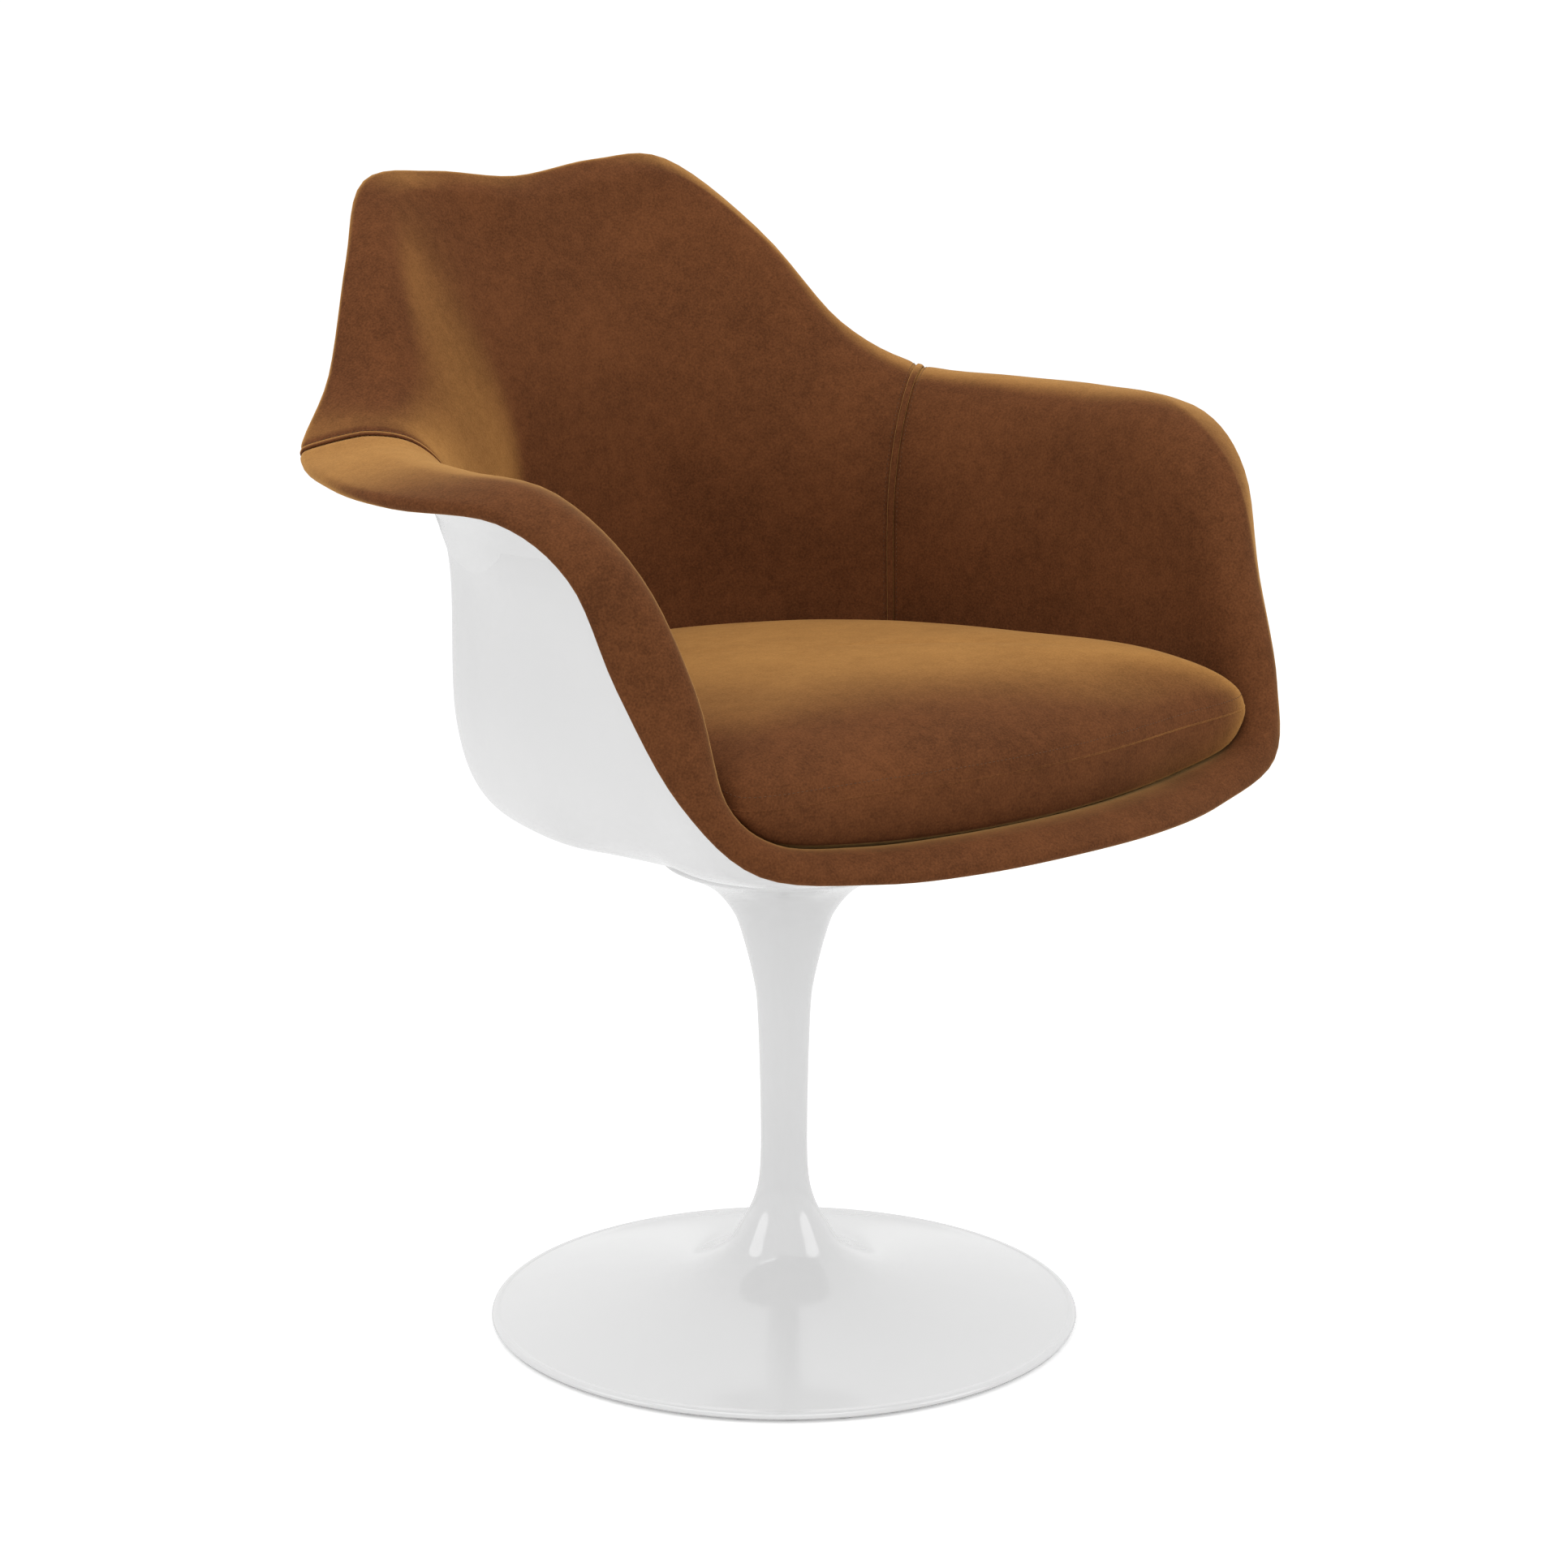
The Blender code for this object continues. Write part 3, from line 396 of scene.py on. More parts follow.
COATING = coated("white_coating", (0.81, 0.81, 0.81, 1.0), roughness=0.16, gloss=1.9)
MOULDING = coated("white_moulding", (0.83, 0.83, 0.83, 1.0), roughness=0.18, gloss=1.5)
BRIGHT_STEEL = turned_metal("bright_steel", (0.52, 0.52, 0.54, 1.0), (0.68, 0.68, 0.70, 1.0), 0.28)
DARK_STEEL = turned_metal("dark_steel", (0.10, 0.10, 0.105, 1.0), (0.22, 0.22, 0.225, 1.0), 0.42)
NYLON = moulded_nylon("nylon", (0.70, 0.68, 0.61, 1.0), (0.80, 0.78, 0.72, 1.0), 0.50)
BLACK_NYLON = moulded_nylon("black_nylon", (0.018, 0.018, 0.019, 1.0), (0.034, 0.034, 0.035, 1.0), 0.55)
TAPE = woven("zip_tape", (0.055, 0.022, 0.009, 1.0), (0.115, 0.047, 0.019, 1.0))
THREAD = woven("thread", (0.075, 0.030, 0.011, 1.0), (0.19, 0.082, 0.029, 1.0))
print("finishes made")

# %% [markdown]
# Foot, stem and flange are one casting, so they are one outline turned on a lathe. Points down the
# trumpet are joined by a smooth curve, then spun about the axis. The flange gets a small round
# edge, as a coating leaves.

# %% Pedestal
JOINT_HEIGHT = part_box("pedestal_casting")[1].z
FOOT_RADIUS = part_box("pedestal_casting")[1].x
FOOT_EDGE = 0.005
FOOT_RISE = 0.029
FOOT_WALL = 0.007
STEM_RADIUS = 0.0168
FLANGE_RADIUS = 0.087
FLANGE_EDGE = 0.0035
FLANGE_ROUND = 0.0008
FLOOR_CLEARANCE = 0.0015
RING_WIDTH = 0.011
RING_GROOVE = 0.0003
BORE_RADIUS = 0.0146
BORE_BELOW_SPINDLE = 0.003
RECESS_DEPTH = 0.0057
SPIN_STEPS = 144
SHARP_ANGLE = math.radians(38)
WELD_DISTANCE = 0.00002


def weights(t):
    """How much each of four points in a row counts at a place t between the middle two."""
    t = np.asarray(t, float)
    return np.stack(
        (
            (-t + 2 * t**2 - t**3) / 2,
            (2 - 5 * t**2 + 3 * t**3) / 2,
            (t + 4 * t**2 - 3 * t**3) / 2,
            (t**3 - t**2) / 2,
        ),
        axis=-1,
    )


def smooth_line(points, steps):
    """A smooth curve through points, with some steps to each stretch."""
    points = np.array(points, float)
    ends = np.vstack((2 * points[0] - points[1], points, 2 * points[-1] - points[-2]))
    parts = [weights(np.arange(steps) / steps) @ ends[i : i + 4] for i in range(len(points) - 1)]
    return np.vstack((*parts, points[-1:]))


def add_object(name, shape, material):
    """Closes a shape into a smooth object with its material."""
    bmesh.ops.remove_doubles(shape, verts=shape.verts, dist=WELD_DISTANCE)
    bmesh.ops.recalc_face_normals(shape, faces=shape.faces)
    mesh = as_mesh(name, shape)
    mesh.shade_smooth()
    mesh.materials.append(material)
    return as_object(name, mesh)


def turned(name, outline, material):
    """An outline of (radius, height) points spun about the upright axis."""
    shape = bmesh.new()
    corners = [shape.verts.new((radius, 0.0, height)) for radius, height in outline]
    edges = [shape.edges.new(pair) for pair in zip(corners, corners[1:])]
    if outline[0][0] > 0:
        edges.append(shape.edges.new((corners[-1], corners[0])))
    bmesh.ops.spin(
        shape,
        geom=corners + edges,
        cent=(0.0, 0.0, 0.0),
        axis=(0.0, 0.0, 1.0),
        angle=2 * math.pi,
        steps=SPIN_STEPS,
        use_merge=True,
    )
    obj = add_object(name, shape, material)
    obj.data.set_sharp_from_angle(angle=SHARP_ANGLE)
    return obj


def make_pedestal():
    """The casting, turned from its outline outside and inside."""
    top = JOINT_HEIGHT
    trumpet = [
        (FLANGE_RADIUS, top - FLANGE_EDGE),
        (FLANGE_RADIUS - 0.004, top - FLANGE_EDGE - 0.003),
        (STEM_RADIUS + 0.047, top - 0.0155),
        (STEM_RADIUS + 0.033, top - 0.025),
        (STEM_RADIUS + 0.0215, top - 0.039),
        (STEM_RADIUS + 0.0147, top - 0.054),
        (STEM_RADIUS + 0.0055, top - 0.090),
        (STEM_RADIUS + 0.0021, top - 0.119),
        (STEM_RADIUS, 0.150),
        (STEM_RADIUS + 0.0007, 0.109),
        (STEM_RADIUS + 0.0052, 0.087),
        (STEM_RADIUS + 0.0140, 0.070),
        (STEM_RADIUS + 0.0260, 0.052),
        (STEM_RADIUS + 0.0480, FOOT_RISE + 0.009),
        (STEM_RADIUS + 0.0780, FOOT_RISE),
        (FOOT_RADIUS - 0.042, FOOT_EDGE + 0.0095),
        (FOOT_RADIUS - 0.012, FOOT_EDGE + 0.0032),
        (FOOT_RADIUS - 0.0065, FOOT_EDGE + 0.0021),
        (FOOT_RADIUS - 0.0045, FOOT_EDGE + 0.0022),
        (FOOT_RADIUS - 0.0022, FOOT_EDGE + 0.0018),
        (FOOT_RADIUS - 0.0005, FOOT_EDGE + 0.0004),
        (FOOT_RADIUS, FOOT_EDGE - 0.0012),
    ]
    cavity = [
        (STEM_RADIUS + 0.078, FOOT_RISE - FOOT_WALL),
        (STEM_RADIUS + 0.048, FOOT_RISE + 0.009 - FOOT_WALL),
        (STEM_RADIUS + 0.022, 0.050 - FOOT_WALL),
        (STEM_RADIUS + 0.005, 0.068 - FOOT_WALL),
        (0.0, 0.078 - FOOT_WALL),
    ]
    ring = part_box("floor_ring")[1]
    groove = ring.z + RING_GROOVE
    bore_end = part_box("swivel_spindle")[0].z - BORE_BELOW_SPINDLE
    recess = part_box("bearing_sleeve")[1].x + RING_GROOVE
    outline = [
        (0.0, bore_end),
        (BORE_RADIUS, bore_end),
        (BORE_RADIUS, top - RECESS_DEPTH),
        (recess, top - RECESS_DEPTH),
        (recess, top),
        (FLANGE_RADIUS - FLANGE_ROUND, top),
        (FLANGE_RADIUS - 0.3 * FLANGE_ROUND, top - 0.3 * FLANGE_ROUND),
        (FLANGE_RADIUS, top - FLANGE_ROUND),
        *smooth_line(trumpet, 6),
        (FOOT_RADIUS - 0.001, FLOOR_CLEARANCE + 0.001),
        (FOOT_RADIUS - 0.003, FLOOR_CLEARANCE),
        (ring.x + RING_GROOVE, FLOOR_CLEARANCE),
        (ring.x + RING_GROOVE, groove),
        (ring.x - RING_WIDTH - RING_GROOVE, groove),
        *smooth_line(cavity, 4),
    ]
    pedestal = turned("pedestal", outline, COATING)
    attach(pedestal, "pedestal")
    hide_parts("pedestal_casting")
    return pedestal


pedestal = make_pedestal()
print("pedestal faces:", len(pedestal.data.polygons))

# %% [markdown]
# A short collar under the shell covers the swivel. It flares into the shell, and its lower edge is
# eased, so that the turning gap shows as a thin line.

# %% Collar
collar_low, collar_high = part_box("collar_ring")
COLLAR_BORE = 0.063
COLLAR_FLARE = 0.0035
COLLAR_EASE = 0.0008


def make_collar():
    """The ring under the shell, a little wider at its top."""
    height = collar_high.z - collar_low.z
    outline = [
        (COLLAR_BORE, collar_high.z),
        (FLANGE_RADIUS + COLLAR_FLARE, collar_high.z),
        (FLANGE_RADIUS + 0.25 * COLLAR_FLARE, collar_high.z - 0.5 * height),
        (FLANGE_RADIUS, collar_low.z + 1.5 * COLLAR_EASE),
        (FLANGE_RADIUS - 0.3 * COLLAR_EASE, collar_low.z + 0.3 * COLLAR_EASE),
        (FLANGE_RADIUS - COLLAR_EASE, collar_low.z),
        (COLLAR_BORE, collar_low.z),
    ]
    collar = turned("collar", outline, MOULDING)
    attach(collar, "seat")
    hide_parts("collar_ring")
    return collar


collar = make_collar()
print("collar faces:", len(collar.data.polygons))

# %% [markdown]
# Shell and lining meet on one smooth surface, the tub. It is set out the way a boat is lofted:
# sixteen stations from the front centre round one arm to the back centre, mirrored for the other
# side. Each station gives four points inwards from the rim, and carries on round a fillet and
# across the flat pan.

# %% Tub surface
GAP = 0.0003
PAN_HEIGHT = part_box("load_plate")[0].z - GAP
PAN_RADIUS = 0.088
PAN_EDGE_RADIUS = 0.152
PAN_EDGE_RISE = 0.021
HOLE_RADIUS = 0.024
FILLET_OUT = 0.19
FILLET_DOWN = 0.29
FILLET_EASE = 0.75

# Rim, lip crest, upper and lower wall of each station: across, back and above the pan, in millimetres
STATIONS = [
    ((0, -297, 43), (0, -264, 46), (0, -225, 32), (0, -195, 24)),
    ((85, -289, 42), (80, -258, 46), (75, -220, 32), (66, -190, 24)),
    ((160, -271, 44), (150, -245, 48), (138, -210, 34), (120, -180, 25)),
    ((238, -245, 56), (220, -235, 60), (202, -206, 43), (177, -171, 32)),
    ((274, -211, 102), (252, -214, 93), (238, -190, 65), (212, -153, 42)),
    ((293, -174, 172), (256, -188, 163), (248, -157, 113), (232, -121, 64)),
    ((309, -147, 241), (266, -151, 228), (251, -115, 165), (236, -88, 77)),
    ((326, -95, 274), (272, -86, 267), (248, -73, 189), (235, -52, 87)),
    ((347, -12, 276), (272, -10, 271), (240, -7, 198), (229, -5, 89)),
    ((332, 75, 276), (260, 57, 272), (224, 51, 206), (217, 47, 91)),
    ((289, 166, 281), (233, 119, 277), (204, 104, 211), (201, 101, 92)),
    ((233, 210, 323), (201, 169, 302), (169, 148, 229), (165, 145, 94)),
    ((187, 251, 396), (168, 216, 356), (130, 182, 243), (124, 177, 97)),
    ((139, 295, 445), (124, 264, 402), (80, 222, 271), (82, 206, 99)),
    ((75, 301, 448), (63, 281, 404), (44, 232, 281), (45, 215, 99)),
    ((0, 300, 440), (0, 276, 394), (0, 231, 271), (0, 217, 99)),
]
BACK_STATION = len(STATIONS) - 1
ROUND = 2 * BACK_STATION
ARM_STATION = 8
SEAM_STATION = 10
STATION_STEPS = 6
ALL_ROUND = np.arange(ROUND * STATION_STEPS + 1) / STATION_STEPS

# Rings of the surface, counted inwards from the rim
RIM, CREST, FILLET, PAN, HOLE = 0, 1, 4, 6, 7


def meridian(station):
    """A station's points carried on round the fillet and across the pan to the hole in its middle."""
    points = np.array(station) * MM + (0.0, 0.0, PAN_HEIGHT)
    lower = points[-1]
    across = lower * (1, 1, 0) / np.linalg.norm(lower[:2])
    edge = across * PAN_EDGE_RADIUS + (0, 0, PAN_HEIGHT + PAN_EDGE_RISE)
    depth = lower[2] - edge[2]
    down = FILLET_DOWN * (1 + FILLET_EASE * min(across[1], 0.0))
    fillet = (lower + edge) / 2 + across * depth * FILLET_OUT - (0, 0, depth * down)
    flat = [across * radius + (0, 0, PAN_HEIGHT) for radius in (PAN_RADIUS, HOLE_RADIUS)]
    line = np.array([*points, fillet, edge, *flat])
    return np.vstack((2 * line[0] - line[1], line, 2 * line[-1] - line[-2]))


def tub_net():
    """The points of every station, with the left half mirrored for the right."""
    half = [meridian(station) for station in STATIONS]
    other = [half[i] * (-1, 1, 1) for i in range(BACK_STATION - 1, 0, -1)]
    return np.array(half + other)


NET = tub_net()


def tub(u, v):
    """Points of the surface at stations u and rings v."""
    u, v = np.broadcast_arrays(np.asarray(u, float), np.asarray(v, float))
    i = np.floor(u).astype(int)
    k = np.clip(np.floor(v).astype(int), RIM, HOLE - 1)
    along, inward = weights(u - i), weights(v - k)
    points = np.zeros((*u.shape, 3))
    for a in range(4):
        for b in range(4):
            points += (along[..., a] * inward[..., b])[..., None] * NET[(i + a - 1) % ROUND, k + b]
    return points


def unit(vectors):
    """The same directions, each one long."""
    return vectors / np.linalg.norm(vectors, axis=-1, keepdims=True)


def tub_normal(u, v):
    """Directions into the seat, square to the surface."""
    step = 0.02
    along = tub(u + step, v) - tub(u - step, v)
    inward = tub(u, v + step) - tub(u, v - step)
    return unit(np.cross(along, inward))


def towards_rim(u, v):
    """Directions along the surface, out over the rim."""
    step = 0.05
    return unit(tub(u, v) - tub(u, v + step))


def raised(u, v, height):
    """Points that stand off the surface by a height."""
    return tub(u, v) + tub_normal(u, v) * np.asarray(height)[..., None]


def ring_inside(u, distance):
    """The ring that lies a distance inside the rim."""
    near = 0.25
    return near * distance / np.linalg.norm(tub(u, near) - tub(u, RIM), axis=-1)


def surface_piece(name, places, material):
    """A grid with its vertices moved to places, which are given by column, row and axis."""
    columns, rows = places.shape[:2]
    shape = bmesh.new()
    bmesh.ops.create_grid(shape, x_segments=columns - 1, y_segments=rows - 1, size=0.5)
    for vertex in shape.verts:
        column = round((vertex.co.x + 0.5) * (columns - 1))
        row = round((vertex.co.y + 0.5) * (rows - 1))
        vertex.co = places[column, row]
    return add_object(name, shape, material)


def round_off(obj):
    """A subdivision that takes the last facets out of a piece."""
    smooth = obj.modifiers.new("smooth", "SUBSURF")
    smooth.levels = 1
    smooth.render_levels = 1
    return obj


def thicken(obj, thickness):
    """Gives a thin piece its thickness, behind the face that shows."""
    solid = obj.modifiers.new("thickness", "SOLIDIFY")
    solid.thickness = thickness
    solid.offset = -1.0


print("rim at the front centre:", tub(0, RIM), "at the arm:", tub(ARM_STATION, RIM))

# %% [markdown]
# The shell is one moulding on the outside of the tub surface, with a wall that thins towards its
# edge. The grid runs up the inside from the hole in the pan, over a round edge just under the
# lining, and down the outside. It closes on itself.

# %% Shell
SHELL_WALL = 0.0075
SHELL_EDGE = 0.0035
EDGE_TAPER = 0.045
RIM_OVERHANG = 0.003
INSIDE_RINGS = np.array((7.0, 6.5, 6.0, 5.5, 5.0, 4.5, 4.0, 3.0, 2.0, 1.0))
EDGE_TURNS = np.radians(np.arange(90, -91, -30))[:, None]
OUTSIDE_RINGS = np.concatenate((np.arange(0.1, 5.9, 0.12), (6.0, 6.5, 7.0)))


def shell_places():
    """The shell from its hole up the inside, round its edge and down the outside."""
    u = ALL_ROUND[:, None]
    edge = ring_inside(u, RIM_OVERHANG + SHELL_EDGE / 2)
    up = raised(u, np.maximum(INSIDE_RINGS, edge), np.zeros((1, 1)))
    round_edge = towards_rim(u, edge) * np.cos(EDGE_TURNS) + tub_normal(u, edge) * np.sin(EDGE_TURNS)
    lip = raised(u, edge, np.full((1, 1), -SHELL_EDGE / 2)) + SHELL_EDGE / 2 * round_edge
    v = edge + OUTSIDE_RINGS * (HOLE - edge) / HOLE
    full = np.clip(np.linalg.norm(tub(u, v) - tub(u, edge), axis=-1) / EDGE_TAPER, 0.0, 1.0)
    down = raised(u, v, -SHELL_EDGE - (SHELL_WALL - SHELL_EDGE) * full**2 * (3 - 2 * full))
    return np.concatenate((up, lip, down, up[:, :1]), axis=1)


def make_shell():
    """The moulded tub, which turns with the seat."""
    shell = round_off(surface_piece("tub_shell", shell_places(), MOULDING))
    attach(shell, "seat")
    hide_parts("shell")
    return shell


tub_shell = make_shell()
print("shell faces:", len(tub_shell.data.polygons))

# %% [markdown]
# The lining is velvet over thin foam, glued to the shell. At the rim it turns over the shell's edge
# in a soft round nose. Where two panels are sewn together both edges dip, so the face is drawn down
# over the last few millimetres before each seam.

# %% Lining panels
PAD_THICKNESS = 0.012
PAD_EDGE = 0.003
ROLL_SHARE = 0.6
SEAT_PAD_THICKNESS = 0.020
SEAM_DEPTH = 0.0026
SEAM_ROLL = 0.0055
NOSE_RADIUS = 0.005
NOSE_INSET = 0.0045
NOSE_BLEND = 8
NOSE_SOFTENING = 12
NOSE_TURNS = np.radians(np.arange(-110, 81, 10))[:, None]
HEM_SHARE = 0.02
LIP_ROWS = np.arange(0.0, 1.2, 0.06)
FACE_ROWS = np.arange(1.2, 3.85, 0.12)
HEM_ROWS = (3.88, 3.92, 3.96, 3.98, 4.0)
WALL_ROWS = np.concatenate((LIP_ROWS, FACE_ROWS, HEM_ROWS))
BACK_ROWS = np.linspace(FILLET - HEM_SHARE, 0.4, 12)
SEAM_COLUMNS = np.array((0.0, 0.02, 0.045, 0.075, 0.11))
PANEL_SHARP_ANGLE = math.radians(60)
# Where the arm lining shows less painted sheen, and how that eases on top of the left arm
LESS_SHEEN_FROM = 0.09
LESS_SHEEN_BLEND = 0.16
ARM_TOP_FROM = PAN_HEIGHT + 0.12
ARM_TOP_BLEND = 0.10
LEFT_BLEND = 0.25
LEFT_MOST = 0.75


def pad_height(v):
    """How far the lining stands off the surface: least at the rim, most on the seat."""
    rolled = np.sin(np.pi / 2 * np.clip(v / ROLL_SHARE, 0.0, 1.0))
    wall = PAD_EDGE + (PAD_THICKNESS - PAD_EDGE) * rolled
    return wall + (SEAT_PAD_THICKNESS - PAD_THICKNESS) * np.clip(v - FILLET, 0.0, 1.0)


def sewn_dip(distance, depth, width):
    """How far a panel is drawn down at some distance from its seam."""
    return depth * np.exp(-np.square(distance / width))


def wall_profile(u):
    """What shows of a wall panel, from under the rim to the seat, and its directions outwards."""
    u = np.asarray(u, float)[:, None]
    nose = ring_inside(u, NOSE_INSET)
    round_nose = towards_rim(u, nose) * np.cos(NOSE_TURNS) + tub_normal(u, nose) * np.sin(NOSE_TURNS)
    middle = raised(u, nose, GAP + pad_height(nose) - NOSE_RADIUS)
    v = nose + WALL_ROWS[None, :] * (FILLET - HEM_SHARE - nose) / FILLET
    face = raised(u, v, GAP + pad_height(v))
    points = np.concatenate((middle + NOSE_RADIUS * round_nose, face), axis=1)
    soft = slice(NOSE_TURNS.size - NOSE_BLEND, NOSE_TURNS.size + NOSE_BLEND)
    for _ in range(NOSE_SOFTENING):
        eased = (points[:, :-2] + 2 * points[:, 1:-1] + points[:, 2:]) / 4
        points[:, soft] = eased[:, soft.start - 1 : soft.stop - 1]
    return points, np.concatenate((round_nose, tub_normal(u, v)), axis=1)


def lining_places(u, ends):
    """A wall panel: the profile that shows, drawn down at its seams, and its back."""
    points, outward = wall_profile(u)
    dip = sewn_dip(np.linalg.norm(points - points[:, -1:], axis=-1), SEAM_DEPTH, SEAM_ROLL)
    for end in ends:
        seam = wall_profile([end])[0]
        dip = dip + sewn_dip(np.linalg.norm(points - seam, axis=-1), SEAM_DEPTH, SEAM_ROLL)
    points = points - outward * dip[..., None]
    back = raised(np.asarray(u, float)[:, None], BACK_ROWS[None, :], np.full((1, 1), GAP))
    return np.concatenate((points, back, points[:, :1]), axis=1)


def panel_columns(start, end):
    """Stations across a panel, closer together where it rolls down to its seams."""
    inner = np.arange(start + 1 / STATION_STEPS, end - 0.5 / STATION_STEPS, 1 / STATION_STEPS)
    return np.concatenate((start + SEAM_COLUMNS, inner, end - SEAM_COLUMNS[::-1]))


def end_caps(obj):
    """Closes the open ends of a panel."""
    shape = bmesh.new()
    shape.from_mesh(obj.data)
    bmesh.ops.holes_fill(shape, edges=[edge for edge in shape.edges if edge.is_boundary], sides=0)
    bmesh.ops.recalc_face_normals(shape, faces=shape.faces)
    shape.to_mesh(obj.data)
    shape.free()


def make_wall_panel(name, node, start, end):
    """A padded panel of the wall, from one station to another."""
    places = lining_places(panel_columns(start, end), (start, end))
    panel = surface_piece(name, places, VELVET)
    end_caps(panel)
    panel.data.set_sharp_from_angle(angle=PANEL_SHARP_ANGLE)
    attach(panel, "seat")
    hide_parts(node)
    return panel


def arm_painted_sheen(places):
    """Less painted sheen forward of the arms' middle, but little of that on top of the left arm."""
    forward = np.clip((LESS_SHEEN_FROM - places[:, 1]) / LESS_SHEEN_BLEND, 0.0, 1.0)
    high = np.clip((places[:, 2] - ARM_TOP_FROM) / ARM_TOP_BLEND, 0.0, 1.0)
    left = np.clip(0.5 + places[:, 0] / LEFT_BLEND, 0.0, LEFT_MOST)
    return forward * (1.0 - high * left)


back_lining = make_wall_panel("back_lining", "back_pad", SEAM_STATION, ROUND - SEAM_STATION)
arm_lining = make_wall_panel("arm_lining", "arm_pad", -SEAM_STATION, SEAM_STATION)
# Painted sheen: the arm lining shows less of it towards its front
set_painted_sheen(arm_lining, arm_painted_sheen)
print("lining faces:", len(back_lining.data.polygons), len(arm_lining.data.polygons))

# %% [markdown]
# Under the cushion the seat has its own ring of padding, with an opening over the bolts.

# %% Seat lining
SEAT_HEM_ROWS = FILLET + np.array((HEM_SHARE, 0.05, 0.1, 0.16, 0.25))
SEAT_FACE_ROWS = np.arange(4.375, 5.9, 0.125)
SEAT_LIP_ROWS = (5.9, 5.94, 5.97, 5.99, 6.0)
SEAT_ROWS = np.concatenate((SEAT_HEM_ROWS, SEAT_FACE_ROWS, SEAT_LIP_ROWS))
OPENING_DEPTH = 0.006
OPENING_ROLL = 0.004
BACK_ROW_STEP = 3


def make_seat_lining():
    """The padded ring, drawn down at its hem and around its opening."""
    u = ALL_ROUND[:, None]
    v = SEAT_ROWS[None, :]
    face_height = GAP + pad_height(v) * np.ones_like(u)
    from_hem = np.linalg.norm(tub(u, v) - tub(u, FILLET + HEM_SHARE), axis=-1)
    from_opening = np.linalg.norm(tub(u, v) - tub(u, PAN), axis=-1)
    hem_dip = sewn_dip(from_hem, SEAM_DEPTH, SEAM_ROLL)
    opening_dip = sewn_dip(from_opening, OPENING_DEPTH, OPENING_ROLL)
    face = raised(u, v, face_height - hem_dip - opening_dip)
    back = raised(u, v, np.full((1, 1), GAP))
    places = np.concatenate((back[:, ::-BACK_ROW_STEP], face, back[:, -1:]), axis=1)
    seat = round_off(surface_piece("seat_lining", places, VELVET))
    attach(seat, "seat")
    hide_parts("seat_pad")
    return seat


seat_lining = make_seat_lining()
print("seat lining faces:", len(seat_lining.data.polygons))

# %% [markdown]
# The seat cushion is a foam block in a sewn cover: a top panel, a band and a bottom panel. It fills
# the tub, so its outline is where the lining comes at the height of the top seam. A short cloth
# simulation blows the top panel up, while the top seam and all below it are held. Its folds are
# then ironed out, as over foam.

# %% Cushion cover
CUSHION_CENTRE = -0.030
CUSHION_SEAM_HEIGHT = PAN_HEIGHT + 0.099
CUSHION_HEM_HEIGHT = PAN_HEIGHT + 0.055
CUSHION_CROWN = 0.033
CROWN_TILT = 1.8
CROWN_FULLNESS = 4
CROWN_SHOULDER = 0.45
DROOP = 0.006
DROOP_FROM = -0.11
DROOP_REACH = 0.11
CORNER_LIFT = 0.007
CORNER_PLACE = -0.15
CORNER_SPREAD = 0.045
LIFT_FADE = 6
CUSHION_CLEARANCE = 0.002
CORNER_ROUNDING = 6
UNDER_ROUNDING = 40
CUSHION_SEAT_GAP = 0.0006
BAND_BULGE = 0.0015
HEM_FROM_RING = 1.4
HEM_INSET = 0.003
HEM_TUCK = 0.004
FRONT_FROM = -0.07
FRONT_BLEND = 0.05
SEAT_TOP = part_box("seat_pad")[0].z + SEAT_PAD_THICKNESS
PUFF_PRESSURE = 2.5
PUFF_FRAMES = 20
PUFF_CAP = 0.006
CLOTH_STRETCH = 18.0
CLOTH_SHEAR = 8.0
CLOTH_BEND = 4.0
HELD_MARGIN = 0.00005
IRON_PASSES = 40
FLAT_ROWS = (0.0, 0.1, 0.2, 0.31, 0.42, 0.53, 0.63, 0.72)
SHOULDER_ROWS = (0.80, 0.86, 0.905, 0.94, 0.965, 0.982, 0.993, 1.0)
TOP_ROWS = np.array(FLAT_ROWS + SHOULDER_ROWS)
BAND_ROWS = np.linspace(0.0, 1.0, 9)[1:]
UNDER_ROWS = np.array((0.985, 0.95, 0.88, 0.78, 0.66, 0.5, 0.34, 0.16, 0.0))
# Where the cushion shows less or more painted sheen
CUSHION_SHEEN_DEPTH = 0.45
CUSHION_SHEEN_PLACE = -0.08
CUSHION_SHEEN_SLANT = 0.8
CUSHION_SHEEN_BLEND = 0.14


def lining_face(u, v, off=0.0):
    """Points on the lining's face, or a little off it."""
    return raised(u, v, pad_height(v) + off)


def ring_at(u, height, near):
    """The ring at which the lining's face comes down to a height, found by halving."""
    near = np.full_like(u, near)
    far = np.full_like(u, FILLET)
    for _ in range(30):
        middle = (near + far) / 2
        above = lining_face(u, middle)[..., 2] > height
        near = np.where(above, middle, near)
        far = np.where(above, far, middle)
    return near


def surface_tree(obj):
    """A search tree of a piece's finished surface."""
    return BVHTree.FromObject(obj, bpy.context.evaluated_depsgraph_get())


LINING_TREES = [surface_tree(piece) for piece in (back_lining, arm_lining, seat_lining)]


def height_under(place):
    """How high the lining's face is at a place in plan."""
    start = Vector((place[0], place[1], CUSHION_SEAM_HEIGHT + CUSHION_CROWN))
    hits = [tree.ray_cast(start, Vector((0.0, 0.0, -1.0)))[0] for tree in LINING_TREES]
    return max([hit.z for hit in hits if hit is not None], default=0.0)


def corner_lift(y):
    """How far the arms push the cushion up at its front corners."""
    return CORNER_LIFT * np.exp(-np.square((y - CORNER_PLACE) / CORNER_SPREAD))


